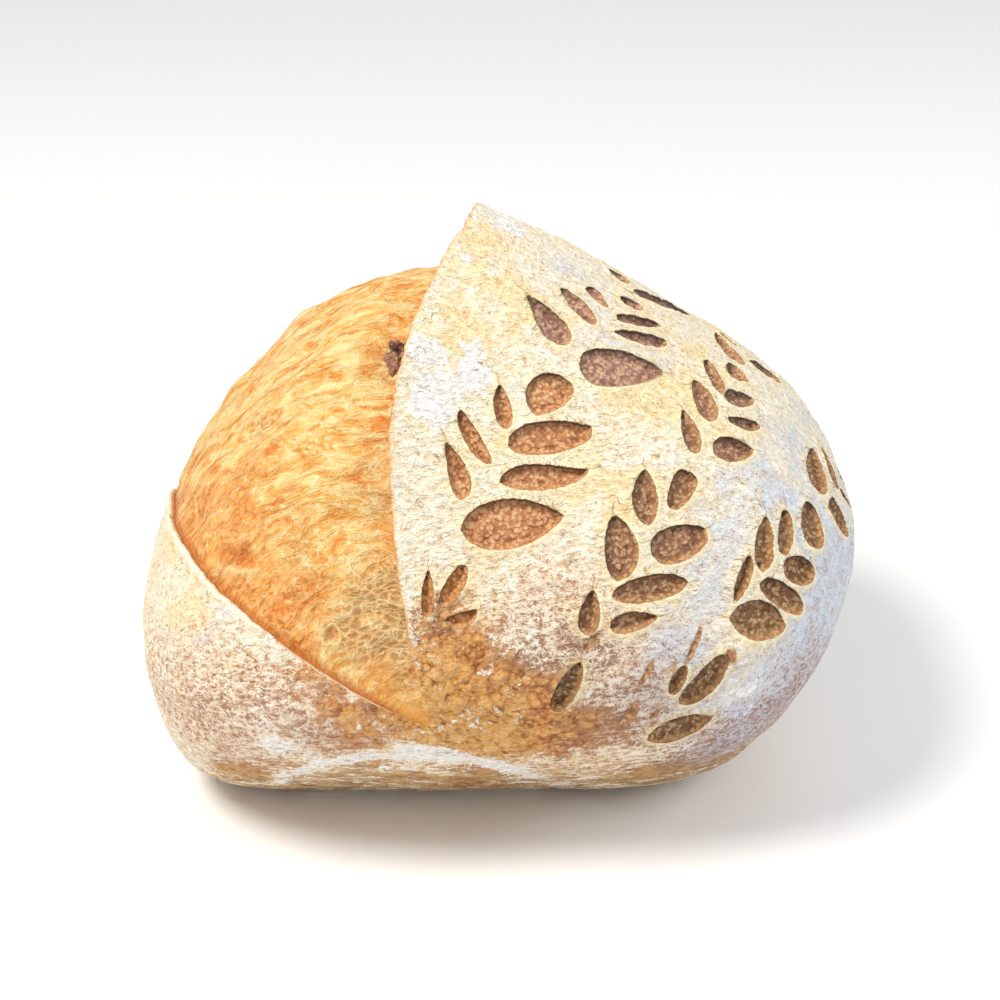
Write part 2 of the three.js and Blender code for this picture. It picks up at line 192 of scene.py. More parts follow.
def noise(points, size, seed):
    """Gradient noise from about -1 to 1, with features of about the given size."""
    places, cell, corners = lattice(points, size, (0, 1))
    f = places - cell
    fade = f * f * f * (f * (f * 6 - 15) + 10)
    total = np.zeros(f.shape[1])
    for corner in corners:
        slope = SLOPES[:, hashed(*(cell + corner), seed) % np.uint32(SLOPES.shape[1])]
        weight = np.prod(np.where(corner, fade, 1 - fade), axis=0)
        total += weight * ((f - corner) * slope).sum(0)
    return total.reshape(points.shape[:-1]) * NOISE_GAIN


def noises(points, *terms):
    """The sum of noises, each given by its height, size and seed."""
    return sum(height * noise(points, size, seed) for height, size, seed in terms)


def layered(points, size, seed, octaves=3, fall=0.5):
    """Several octaves of noise on top of each other."""
    return noises(points, *((fall**octave, size / 2**octave, seed + octave) for octave in range(octaves)))


def shaking(points, size, seeds):
    """A vector of noise at each point, with a seed for each axis."""
    return np.stack([noise(points, size, seed) for seed in seeds], -1)


def cells(points, size, seed):
    """Distance to the nearest of scattered points, and that point's number from 0 to 1."""
    places, cell, neighbours = lattice(points, size, (-1, 0, 1))
    nearest = np.zeros_like(cell)
    away = np.full(cell.shape[1], np.inf)
    for neighbour in neighbours:
        at = cell + neighbour
        h = hashed(*at, seed)
        jitter = np.stack([(h >> np.uint32(s)) & np.uint32(1023) for s in (0, 10, 20)]) / 1023.0
        gap = np.linalg.norm(at + jitter - places, axis=0)
        nearest = np.where(gap < away, at, nearest)
        away = np.minimum(gap, away)
    number = (hashed(*nearest, seed + 77) % np.uint32(1000)) / 1000.0
    shape = points.shape[:-1]
    return away.reshape(shape), number.reshape(shape)


def clamped(value):
    return np.clip(value, 0, 1)


def smoothstep(value, low, high):
    share = clamped((value - low) / (high - low))
    return share * share * (3 - 2 * share)


def bell(value, width):
    return np.exp(-((value / width) ** 2))


def unit(vectors):
    return vectors / np.linalg.norm(vectors, axis=-1, keepdims=True)


# ---------------------------------------------------------------- the loft


def along_curve(values, theta):
    """A Catmull-Rom curve through values spaced evenly from the front pole to the back pole."""
    values = np.asarray(values, float)
    last = len(values) - 1
    place = clamped(theta / math.pi) * last
    index = np.clip(np.floor(place).astype(int), 0, last - 1)
    f = place - index
    a, b, c, d = (values[np.clip(index + step, 0, last)] for step in (-1, 0, 1, 2))
    return 0.5 * (2 * b + (c - a) * f + (2 * a - 5 * b + 4 * c - d) * f**2 + (3 * b - a - 3 * c + d) * f**3)


def ear_longitude(theta):
    return along_curve(EAR_DEGREES, theta) * DEGREE


def lip_longitude(theta):
    return along_curve(LIP_DEGREES, theta) * DEGREE


def opening(theta):
    """How far the score has opened: nothing at the poles, fully open from SCORE_END on."""
    end = SCORE_END * DEGREE
    return smoothstep(theta, 0, end) * smoothstep(math.pi - theta, 0, end)


def norm(power, *parts):
    return sum(np.abs(part) ** power for part in parts) ** (1 / power)


def bearing(theta, phi):
    """Direction from the heart: theta counts from the front pole, phi from straight up to the right."""
    theta, phi = np.broadcast_arrays(theta, phi)
    toward = np.stack([np.sin(theta) * np.sin(phi), -np.cos(theta), np.sin(theta) * np.cos(phi)], -1)
    pull = np.where((theta < math.pi / 2)[..., None], FRONT_PULL, BACK_PULL)
    toward = toward + pull * (np.cos(theta) ** 2)[..., None]
    return unit(toward)


def closed_reach(theta, phi):
    """Distance from the heart to the crust of the closed loaf."""
    x, y, z = np.moveaxis(bearing(theta, phi), -1, 0)
    rise = z - LEAN * x
    across = x / np.where(x < 0, REACH["left"], REACH["right"])
    along = y / np.where(y < 0, REACH["front"], REACH["back"])
    plan = norm(np.where(y < 0, FRONT_POWER, BACK_POWER), across, along)
    body = np.where(
        rise > 0, norm(DOME_POWER, plan, rise / REACH["dome"]), norm(BELLY_POWER, plan, rise / REACH["belly"])
    )
    base = np.maximum(-z, 0) / HEART[2]
    arch = np.maximum(bearing(theta, phi) @ ARCH_FACING, 0) / ARCH_REACH
    return 1 / norm(BASE_POWER, body, base, arch)


def ear_lift(theta, phi):
    """The ear lifts the crust beside the score, most at its edge."""
    off_middle = (theta / DEGREE - EAR_RISE["middle"]) / EAR_RISE["spread"]
    crest = EAR_RISE["height"] * np.exp(-EAR_RISE["fall"] * off_middle**2)
    crest = crest * np.sin(theta) ** EAR_RISE["ends"]
    from_edge = (phi - ear_longitude(theta)) / DEGREE / EAR_RISE["reach"]
    return crest * clamped(1 - from_edge) ** EAR_RISE["power"]


def point_at(theta, phi, distance):
    """A point at a given distance from the heart, pressed flat where it meets the stone."""
    point = HEART + bearing(theta, phi) * np.asarray(distance)[..., None]
    point[..., 2] = np.maximum(point[..., 2] - BASE_TRIM, 0)
    return point


def crust_point(theta, phi):
    return point_at(theta, phi, closed_reach(theta, phi) + ear_lift(theta, phi))


def bloom_point(theta, phi):
    return point_at(theta, phi, closed_reach(theta, phi) - LIP_STEP)


# ---------------------------------------------------------------- wheat-ear cuts

OUTLINE_STEPS = 24
LEAF_DEPTH = 2.0
LEAF_MARGIN = 13.0       # how far around a leaf its measures are taken
LEAF_SLAB = 9.0          # and how far off its plane
FAR = 30.0               # stands for no cut near, which is so beyond the next
NO_CUT_BEYOND = 20.0
SNAP = 0.32              # points this close to an outline move onto it
OVERHANG_TOWARD = np.array([-0.45, 0.25, 0.86])  # the blade slanted in under the edge on this side


def leaf_side(share, reach, widest, fullness):
    """How far one side of a leaf reaches out at a share of its length from the butt."""
    taper = fullness * (1 - widest) / widest
    return reach * (share / widest) ** fullness * ((1 - share) / (1 - widest)) ** taper


def turned_about(row):
    """A leaf of the front as it lies on the back: mirrored, so its sides change places."""
    tip_theta, tip_phi, butt_theta, butt_phi, left, left_widest, right, right_widest, fullness = row
    along, around = TURN["along"], TURN["around"]
    return (
        along - tip_theta, tip_phi + around, along - butt_theta, butt_phi + around,
        right, right_widest, left, left_widest, fullness,
    )


def all_cuts():
    """Every leaf and nick, with its depth and its sprig."""
    cuts = [(row, LEAF_DEPTH, sprig) for sprig, rows in SPRIGS.items() for row in rows]
    cuts += [(turned_about(row), LEAF_DEPTH, sprig) for sprig in TURNED_SPRIGS for row in SPRIGS[sprig]]
    return cuts + [(row, NICK_DEPTH, "nicks") for row in NICKS]


def leaf_axes(row):
    """The leaf's butt, and its length, along, across and outward axes on a plane that touches the crust."""
    tip_theta, tip_phi, butt_theta, butt_phi = (value * DEGREE for value in row[:4])
    butt = crust_point(butt_theta, butt_phi)
    along = crust_point(tip_theta, tip_phi) - butt
    length = np.linalg.norm(along)
    along = along / length
    outward = bearing((tip_theta + butt_theta) / 2, (tip_phi + butt_phi) / 2)
    across = np.cross(outward, along)
    across = across / np.linalg.norm(across)
    return butt, length, along, across, np.cross(along, across)


def outline_distance(spots, outline):
    """Signed distance to a closed outline, negative inside, and the way out of it at each spot."""
    start = outline
    step = np.roll(outline, -1, axis=0) - start
    away = spots[:, None, :] - start
    share = clamped((away * step).sum(-1) / (step * step).sum(-1))
    miss = away - share[..., None] * step
    gaps = np.linalg.norm(miss, axis=-1)
    nearest = gaps.argmin(axis=1)
    rows = np.arange(len(spots))
    distance = gaps[rows, nearest]
    below = start[:, 1] <= spots[:, None, 1]
    above_next = (start + step)[:, 1] > spots[:, None, 1]
    turn = step[:, 0] * away[..., 1] - step[:, 1] * away[..., 0]
    winding = (below & above_next & (turn > 0)).sum(1) - (~below & ~above_next & (turn < 0)).sum(1)
    sign = np.where(winding != 0, -1.0, 1.0)
    out = miss[rows, nearest] * sign[:, None] / np.maximum(distance, 1e-6)[:, None]
    return distance * sign, out


def measure_cuts(points):
    """For every point: signed distance to the nearest cut, the way out of it, which side of it the
    point is on (1 at the overhanging edge), its place along and across the cut, and the cut's
    depth and tones."""
    flat = points.reshape(-1, 3)
    count = len(flat)
    found = {name: np.zeros(count) for name in ("overhang", "depth", "orange", "dark")}
    found |= {name: np.full(count, FAR) for name in ("distance", "across")}
    found["beyond_tip"] = np.full(count, -FAR)
    found["out"] = np.zeros((count, 3))
    share = np.linspace(0, 1, OUTLINE_STEPS)
    for row, depth, sprig in all_cuts():
        butt, length, along, across, outward = leaf_axes(row)
        left, left_widest, right, right_widest, fullness = row[4:]
        off_middle = np.linalg.norm(flat - (butt + along * length / 2), axis=1)
        near = np.flatnonzero(off_middle < length / 2 + LEAF_MARGIN)
        if not len(near):
            continue
        offset = flat[near] - butt
        spots = np.stack([offset @ along, offset @ across], -1)
        upper = np.stack([share * length, leaf_side(share, left, left_widest, fullness)], -1)
        lower = np.stack([share * length, -leaf_side(share, right, right_widest, fullness)], -1)[-2:0:-1]
        distance, out = outline_distance(spots, np.concatenate([upper, lower]))
        distance = np.where(np.abs(offset @ outward) < LEAF_SLAB, distance, FAR)
        closer = distance < found["distance"][near]
        near, distance, out, spots = near[closer], distance[closer], out[closer], spots[closer]
        way_out = out[:, :1] * along + out[:, 1:] * across
        orange, dark = FLOOR_TONES[sprig]
        measures = {
            "distance": distance, "out": way_out, "overhang": way_out @ OVERHANG_TOWARD,
            "beyond_tip": spots[:, 0] - length, "across": spots[:, 1],
            "depth": depth, "orange": orange, "dark": dark,
        }
        for name, values in measures.items():
            found[name][near] = values
    return {name: value.reshape(points.shape[:-1] + value.shape[1:]) for name, value in found.items()}


# ---------------------------------------------------------------- soft spots

# Each spot is theta and phi in degrees, its radius in mm and its strength. On the crust they say
# where it is bare, where its skin has baked brown or gold, and where the flour is thin, thick,
# yellow or cool. The cool spots are partly the flour's own tone and partly painted cool light and
# painted shade on the right; on the lower right the thin-flour spots partly paint shade as well.
# On the crumb they say where it is toasted and where it is pale.
BARE_SPOTS = [
    (43.8, 79.8, 2.4, 1.2), (11, 60, 18, 1.0), (9, 6, 14, 1.0), (15, 95, 14, 0.95), (21, 4, 9, 0.75),
    (40, 240, 8, 1.4), (5, 95, 12, 0.8), (15, 287, 8, 0.5), (22, 294, 7, 0.5), (10, 275, 9, 0.3),
    (28, 100, 11, 0.4), (25, 90, 8, 0.5), (44, 117, 9, 1.0), (30, 170, 16, 0.6), (22, 150, 14, 0.5),
    (20, 205, 10, 0.4), (60, 118, 14, 0.4), (96, 112, 16, 0.5), (150, 80, 18, 0.6), (130, 250, 20, 0.6),
    (165, 200, 22, 0.7), (110, 250, 12, 0.4), (14, 245, 13, 0.55), (120, 110, 12, 0.5),
]
BROWN_SPOTS = [
    (43.8, 79.8, 2.4, 1.2), (17, 52, 8, 0.7), (22, 6, 9, 0.8), (44, 117, 12, 0.9), (28, 62, 9, 0.7),
    (26, 87, 12, 0.9), (24, 100, 8, 0.4), (17, 0, 7, 0.8), (20, 43, 7, 0.7), (23, 55, 7, 0.5),
    (50, 107, 16, 0.9), (38, 100, 12, 0.7), (150, 80, 18, 0.6),
]
GOLD_SPOTS = [
    (4, 94, 14, 1.0), (10, 5, 9, 0.9), (12, 110, 10, 0.8), (3, 200, 10, 0.7), (39, 239, 9, 0.6),
    (12, -10, 4, 0.9), (7, -9, 6, 1.0), (22, 292, 9, 0.7), (11, 284, 9, 0.6),
]
SPECKLE_SPOTS = [
    (62, 110, 16, 0.9), (68, 98, 12, 0.6), (44, 104, 12, 0.8), (50, 110, 16, 1.0), (16, 70, 24, 0.6),
    (57, 92, 16, 0.8), (52, 103, 16, 0.9), (38, 78, 12, 0.4), (26, 60, 17, 0.9), (33, 95, 16, 0.8),
    (22, 36, 12, 0.4), (24, 268, 24, 0.9), (38, 262, 22, 0.75), (52, 262, 18, 0.5), (72, 102, 20, 0.7),
    (95, 100, 26, 0.6), (120, 100, 30, 0.7), (150, 110, 30, 0.8), (120, 255, 34, 0.7),
    (80, 252, 24, 0.6), (150, 250, 34, 0.7), (14, 285, 14, 0.75), (30, 40, 9, 0.3), (18, 250, 14, 0.6),
    (26, 85, 14, 0.7),
]
WHITE_SPOTS = [
    (52, 4, 8, 0.9), (58, 10, 7, 0.9), (58.5, 0, 5, 1.0), (55, 20, 6, 0.6), (47, 24, 7, 0.4),
    (50, 1, 5, 0.8), (88, 12, 4, 0.8), (90, 15, 4, 0.7), (70, 9, 6, 0.4), (75, 6, 5, 0.4),
    (40, 229, 4, 1.0), (35, 231, 4, 1.0), (30.5, 232, 4, 1.1), (26.5, 234, 4, 1.1), (22.5, 236, 4, 1.1),
    (19.5, 236, 4, 1.1), (17, 236, 4, 1.1), (14.5, 236, 3.5, 1.1), (12, 235, 3.5, 1.1),
    (8.5, 221, 4, 1.2), (6, 195, 4, 1.2), (8, 164, 4, 1.2), (10, 152, 4, 1.2), (13, 141, 4, 1.2),
    (17, 136, 4, 1.0), (20, 136, 4, 0.9), (23.5, 136, 4, 0.8), (28, 137, 4, 0.8), (32, 138, 4, 0.9),
    (41, 140, 4, 0.8), (17, 211, 4, 0.8), (14.5, 190, 4, 0.8), (85, 66, 12, 0.3), (47, 90, 9, 0.5),
    (26, 258, 9, 0.6), (9, 70, 6, 0.15), (15, 48, 6, 0.15), (21, 44, 8, 0.4), (44, 88, 6, 0.4),
    (150, 60, 12, 0.8), (112, 30, 7, 0.8), (100, 12, 8, 0.7), (130, 40, 14, 0.7), (115, 70, 14, 0.6),
    (140, 290, 16, 0.5), (92, 14, 6, 0.9), (27, 300, 6, 0.6), (36, 296, 8, 0.5),
]
YELLOW_SPOTS = [
    (62, 8, 14, 0.8), (72, 14, 16, 0.6), (82, 8, 10, 0.6), (56, 36, 18, 0.45), (74, 40, 18, 0.6),
    (46, 82, 4, 1.6), (46, 8, 8, 0.4), (66, 48, 12, 0.5), (84, 50, 12, 0.5), (30, 24, 8, 0.4),
    (60, 290, 20, 0.55), (42, 284, 16, 0.35), (110, 30, 24, 0.6), (130, 60, 26, 0.5),
    (152, 35, 18, 0.6), (110, 290, 26, 0.6), (48, 42, 10, 0.5), (105, 60, 20, 0.5), (20, 14, 8, 0.5),
    (70, 58, 8, 0.5),
]
# Partly the flour's own cool tone, partly painted cool light and painted shade on the right and lower right.
COOL_LIGHT_AND_SHADE_SPOTS = [
    (60, 62, 20, 0.4), (66, 79, 22, 0.8), (46, 64, 18, 0.4), (57, 88, 20, 0.8), (86, 25, 8, 0.5),
    (36, 80, 16, 0.6), (49.5, 107, 12, 0.9), (75, 66, 12, 0.5), (80, 90, 24, 0.9), (48, 96, 14, 0.7),
    (66, 92, 16, 0.7), (75, 40, 14, 0.35), (68, 30, 12, 0.30), (56, 100, 14, 0.7), (40, 283, 14, 0.25),
    (98, 100, 26, 0.45), (112, 85, 26, 0.35), (125, 105, 28, 0.35), (92, 70, 18, 0.3),
    (140, 90, 26, 0.3), (100, 118, 22, 0.35),
]
TOAST_SPOTS = [
    (48, -54, 16, 0.9), (57, -68, 12, 0.9), (41, -62, 10, 0.8), (32, -58, 8, 0.7), (73, -73, 12, 0.7),
    (26, -55, 6, 0.6), (54, -45, 9, 0.4), (34, -48, 8, 0.6), (90, -75, 14, 0.5), (110, -85, 16, 0.6),
    (12, -42, 8, 0.8), (29, -49, 9, 0.7), (59, -60, 10, 0.4), (40, -11, 6, 0.5), (25, -57, 7, 0.6),
    (68, -11, 6, 0.7), (63, -28, 5, 0.5), (100, -40, 12, 0.4), (140, -60, 20, 0.5),
]
PALE_SPOTS = [
    (64, -6, 5, 1.0), (64, -40, 5, 0.8), (37, -14, 7, 0.5), (23, -14, 11, 1.1), (19.5, -25, 9, 1.0),
    (15.5, -18, 7, 0.9), (9, -23, 6, 0.8), (19, -40, 7, 0.7), (22, -46, 4, 0.8), (34, -42, 5, 0.5),
    (44, -12, 6, 0.6), (120, -30, 14, 0.6),
]

# Round blisters in the crust, and pockets torn in the crumb: theta, phi, radius, depth and rim.
# The folds beside the pockets are soft spots of crumb that stand up.
BLISTERS = [
    (71.5, 16, 1.7, 0.35, 1), (84.5, 12, 1.4, 0.3, 1), (29.5, 41, 1.6, 0.4, 1),
    (54.5, 57, 1.8, 0.35, 1), (79.5, 66, 2.0, 0.35, 1), (66.5, 66, 1.6, 0.3, 1),
    (45.5, 81.5, 4.6, 2.0, 0), (39, 66, 2.0, 0.4, 1), (34, 86, 1.2, 0.3, 1), (120, 40, 2.0, 0.4, 1),
    (100, 80, 1.8, 0.35, 1), (140, 75, 2.2, 0.4, 1), (60, 270, 1.8, 0.35, 1), (130, 285, 2.0, 0.4, 1),
]
POCKETS = [
    (56.7, -68, 0.9, 0.8, 0), (48.8, -63.5, 1.0, 0.9, 0), (38, -60.3, 1.1, 1.0, 0),
    (32, -58.8, 0.9, 0.8, 0), (28.5, -58.3, 0.9, 0.8, 0), (10.5, -14, 1.2, 1.2, 0),
    (21.4, -47.2, 1.9, 1.3, 0.8), (44.8, -60.2, 2.2, 1.4, 0), (43.6, -58, 2.8, 1.9, 0),
    (42, -56.2, 3.0, 2.1, 0), (40.6, -54.8, 2.4, 1.7, 0), (84, -62, 1.2, 0.8, 0),
    (120, -60, 3.4, 1.0, 0.3),
]
FOLDS = [
    (44.3, -62.3, 1.2, 0.5), (43.2, -61.8, 1.3, 0.7), (42.1, -61.2, 1.4, 0.8), (40.9, -60.2, 1.4, 0.9),
    (39.8, -59, 1.4, 0.9), (38.9, -57.4, 1.3, 0.8), (38.4, -55.8, 1.2, 0.7), (38.1, -54.2, 1.1, 0.5),
    (23.6, -49.5, 1.1, 0.6), (22.6, -50.2, 1.1, 0.7), (21.2, -50.4, 1.1, 0.7), (20, -49.6, 1.1, 0.6),
]


def spread(points, spots, surface=crust_point):
    """How strongly the soft spots cover each point."""
    total = np.zeros(points.shape[:-1])
    for theta, phi, radius, strength in spots:
        centre = surface(theta * DEGREE, phi * DEGREE)
        gap = ((points - centre) ** 2).sum(-1)
        total = total + strength * np.exp(-gap / radius**2)
    return total


def rings(points, spots, surface):
    """Round domes or pockets: how deep each point is in one, and how much it is on one's rim."""
    inside = np.zeros(points.shape[:-1])
    rim = np.zeros(points.shape[:-1])
    for theta, phi, radius, depth, edge in spots:
        away = np.linalg.norm(points - surface(theta * DEGREE, phi * DEGREE), axis=-1)
        inside = np.maximum(inside, depth * np.exp(-((away / radius) ** 3)))
        rim = np.maximum(rim, edge * bell(away - 1.25 * radius, 0.25 + 0.14 * radius))
    return inside, rim


# ---------------------------------------------------------------- relief

NUB = {"theta": 92.0, "radius": 3.2, "height": 0.9}  # the torn tip of the ear
TORN_FROM, TORN_TO = 20, 34  # degrees along the score between which its edges start to be torn
UNTORN = 6.0             # mm that keep the looks of a torn edge away from an edge that isn't torn

# Noises as height, size and seed: of the whole skin, of the cuts' outlines, of the crumb's strands.
SWELLS = [(0.7, 34, 41), (0.35, 13, 42)]
RAGGED = [(0.16, 1.9, 15), (0.10, 0.9, 16)]
SWAY = [(2.4, 22, 71), (0.6, 8, 72)]

# Heights in mm of the forms on the crust, at the cuts and on the crumb.
CRUST_RISE = {"ripples": 0.26, "creases": 0.18, "domes": 0.85, "blister_rim": 0.15, "lip": 0.55}
CUT_RISE = {"rim": 0.5, "bulge": 0.8, "bubbles": 0.42, "undercut": 0.35}
CRUMB_RISE = {"strands": 0.20, "fine": 0.05, "waves": 0.6, "lumps": 1.2, "pocket_rim": 0.7, "folds": 0.9}


def undulation(points):
    """The slow swell of the whole skin, in and out from the heart."""
    above = smoothstep(points[..., 2], 1.0, 12.0)
    tip = crust_point(NUB["theta"] * DEGREE, ear_longitude(NUB["theta"] * DEGREE))
    nub = NUB["height"] * np.exp(-((points - tip) ** 2).sum(-1) / NUB["radius"] ** 2)
    return above * noises(points, *SWELLS) + nub


def ring_normals(points, poles):
    """Unit normals of a closed-ring grid, facing out."""
    ends = [np.broadcast_to(pole, (1, points.shape[1], 3)) for pole in poles]
    tall = np.concatenate([ends[0], points, ends[1]])
    down = tall[2:] - tall[:-2]
    round_ = np.roll(points, -1, axis=1) - np.roll(points, 1, axis=1)
    normals = np.cross(round_, down)
    return normals / np.maximum(np.linalg.norm(normals, axis=-1, keepdims=True), 1e-9)


def distances_along(points):
    """Distance of every column from the first, measured along each ring."""
    steps = np.linalg.norm(np.diff(points, axis=1), axis=-1)
    return np.concatenate([np.zeros((len(points), 1)), np.cumsum(steps, axis=1)], axis=1)


def domed(points, size, seed, radius, slope):
    """Scattered round domes, from 0 to 1 at their tops, and a number from 0 to 1 for each."""
    away, number = cells(points, size, seed)
    return clamped((radius - away) / slope), number


def skin_covers(points, warped):
    """Where the crust is bare, floury and of which tone."""
    rough = layered(points, 5, 21)
    return {
        "bare": smoothstep(spread(warped, BARE_SPOTS) + 0.28 * rough, 0.22, 0.98),
        "speckle": clamped(spread(warped, SPECKLE_SPOTS) + 0.15 * rough),
        "white": clamped(spread(warped, WHITE_SPOTS) + 0.20 * rough),
        "yellow": clamped(spread(warped, YELLOW_SPOTS) + 0.40 * layered(points, 16, 31)),
        # Partly the flour's own cool tone, partly painted cool light and painted shade on the right.
        "cool": clamped(spread(warped, COOL_LIGHT_AND_SHADE_SPOTS) + 0.15 * noise(points, 12, 35)),
        "brown": clamped(spread(warped, BROWN_SPOTS) + 0.3 * rough),
        "gold": clamped(spread(warped, GOLD_SPOTS)),
    }


def skin_relief(points, warped, bare, beside_lip):
    """How high the crust stands outside the cuts, how domed it is, and its blisters' rims."""
    creased = points * (0.28, 1.0, 1.0) + 0.8 * shaking(points, 6, (4, 5, 6))
    relief = CRUST_RISE["ripples"] * layered(warped, 6.0, 43)
    relief += CRUST_RISE["creases"] * layered(creased, 2.4, 45, octaves=2)
    large, large_number = domed(points, 4.2, 51, 0.72, 0.5)
    small, small_number = domed(points, 2.1, 52, 0.75, 0.5)
    domes = large**0.8 * smoothstep(large_number, 0.40, 0.85)
    domes = np.maximum(domes, 0.7 * small**0.8 * smoothstep(small_number, 0.2, 0.8))
    relief += bare * CRUST_RISE["domes"] * domes
    blister, blister_rim = rings(points, BLISTERS, crust_point)
    relief += blister + CRUST_RISE["blister_rim"] * blister_rim
    relief += CRUST_RISE["lip"] * beside_lip * (1 + 0.6 * noise(points, 5, 48))
    return relief, domes, blister_rim


def cut_relief(points, distance, depth, high_side):
    """How high the cuts' floors and rims stand, and how bubbly the floors are."""
    inside = np.maximum(-distance, 0)
    wall = smoothstep(inside, 0, 2.2 - 1.5 * high_side)
    undercut = CUT_RISE["undercut"] * high_side * (1 - smoothstep(inside, 0.5, 2.2))
    large, number = domed(points, 1.9, 61, 0.78, 0.55)
    small, _ = domed(points, 1.1, 62, 0.75, 0.5)
    bubble = np.maximum(large * (0.45 + 0.55 * number), 0.5 * small)
    floor = CUT_RISE["bulge"] * smoothstep(inside, 0.8, 4.5)
    floor = floor + CUT_RISE["bubbles"] * bubble * smoothstep(inside, 0.3, 1.2)
    rim = CUT_RISE["rim"] * bell(distance, 1.4) * (distance >= 0)
    return (floor + rim) * (depth > NICK_DEPTH) - depth * (1 - undercut) * wall, bubble


def shape_crust(points, normals, theta):
    """Moves the crust's points into their relief, and says what covers each of them."""
    from_ear = distances_along(points)
    from_lip = from_ear[:, -1:] - from_ear
    cuts = measure_cuts(points)
    near = cuts["distance"] < NO_CUT_BEYOND
    distance = np.where(near, cuts["distance"] + noises(points, *RAGGED), FAR)
    snap = np.where(np.abs(distance) < SNAP, -distance, 0.0)
    points = points + cuts["out"] * snap[..., None]
    distance = distance + snap

    torn = smoothstep(theta, TORN_FROM * DEGREE, TORN_TO * DEGREE)
    warped = points + 2.2 * shaking(points, 9, (1, 2, 3))
    cover = skin_covers(points, warped)
    beside_lip = bell(from_lip, 1.5) * torn * opening(theta)
    relief, domes, blister_rim = skin_relief(points, warped, cover["bare"], beside_lip)
    over = np.clip(cuts["overhang"], -1, 1)
    carved, bubble = cut_relief(points, distance, cuts["depth"], smoothstep(over, -0.2, 0.6))

    above = smoothstep(points[..., 2], 0.5, 6.0)
    moved = points + normals * ((relief + carved) * above)[..., None]
    cover |= {
        "domes": domes, "blister": blister_rim, "bubble": bubble,
        "cut": distance, "overhang": over, "beyond_tip": cuts["beyond_tip"], "across_cut": cuts["across"],
        "orange_floor": cuts["orange"], "dark_floor": cuts["dark"],
        "deep": 1.0 * (cuts["depth"] > NICK_DEPTH), "sole": smoothstep(-normals[..., 2], 0.50, 0.74),
        "from_ear": from_ear + UNTORN * (1 - torn), "from_lip": from_lip + UNTORN * (1 - torn),
    }
    return moved, cover


def shape_bloom(points, normals, theta):
    """Moves the burst crumb's points into torn strands, and says how toasted and how high each is
    and where its strands flow."""
    from_lip = distances_along(points)
    from_ear = from_lip[:, -1:] - from_lip
    run = np.broadcast_to(RUN * theta, from_lip.shape)
    level = 0 * run
    flat = np.stack([run, from_lip, level], -1)
    sway = noises(flat, *SWAY)
    sheet = np.stack([run + sway, from_lip / 7, level], -1)
    strands = 1 - np.abs(noise(sheet, 2.6, 73)) * 2
    fine = 1 - np.abs(noise(sheet * (1, 1.6, 1), 1.3, 74)) * 2
    waves = noise(np.stack([run + 2 * sway, from_lip / 2.4, level], -1), 7, 75)
    lumps = layered(points, 17, 76, octaves=2)
    warped = points + 1.1 * shaking(points, 3.5, (7, 8, 9))
    pocket, pocket_rim = rings(warped, POCKETS, bloom_point)
    fold = np.clip(spread(warped, FOLDS, bloom_point), 0, 1.2)

    relief = CRUMB_RISE["strands"] * strands + CRUMB_RISE["fine"] * fine
    relief += CRUMB_RISE["waves"] * waves + CRUMB_RISE["lumps"] * lumps
    relief *= smoothstep(from_lip, 0, 5) * smoothstep(from_ear, 0, 3)
    local = CRUMB_RISE["pocket_rim"] * pocket_rim + CRUMB_RISE["folds"] * fold - pocket
    relief += local * smoothstep(from_ear, 0, 2)
    moved = points + normals * (relief * opening(theta))[..., None]
    cover = {
        "height": 0.5 + 0.22 * strands + 0.12 * fine + 0.22 * waves,
        "pocket": pocket, "pocket_rim": np.maximum(pocket_rim, fold),
        "toast": clamped(spread(points, TOAST_SPOTS, bloom_point) + 0.35 * noise(points, 7, 78)),
        "pale": clamped(spread(points, PALE_SPOTS, bloom_point)),
        "from_lip": from_lip, "from_ear": from_ear,
    }
    flow = np.stack([run + sway, from_lip + 3 * noise(flat, 12, 79), level], -1)
    return moved, cover, flow


# ---------------------------------------------------------------- rings

LIP_WANDER = [(0.7, 9, 84), (0.4, 3.1, 85), (0.2, 1.3, 86)]  # height, size and seed
EAR_WANDER = [(0.7, 9, 81), (0.4, 3.1, 82), (0.2, 1.3, 83)]
EDGE_BEAD = 0.8          # mm by which the ear's edge is rounded outwards
ELSEWHERE = {"cut": FAR, "across_cut": FAR, "beyond_tip": -FAR}  # covers that aren't 0 by default


def between(start, end, count, bulge):
    """Columns of points between two columns, rounded outwards by a vector."""
    share = (np.arange(1, count + 1) / (count + 1))[None, :, None]
    return start[:, None] + (end - start)[:, None] * share + bulge[:, None] * np.sin(math.pi * share)


def wavering(theta, terms):
    """A torn edge's wander, from about -1 to 1."""
    way = np.concatenate([theta * RUN, 0 * theta, 0 * theta], axis=1)
    return noises(way, *terms)[:, None]


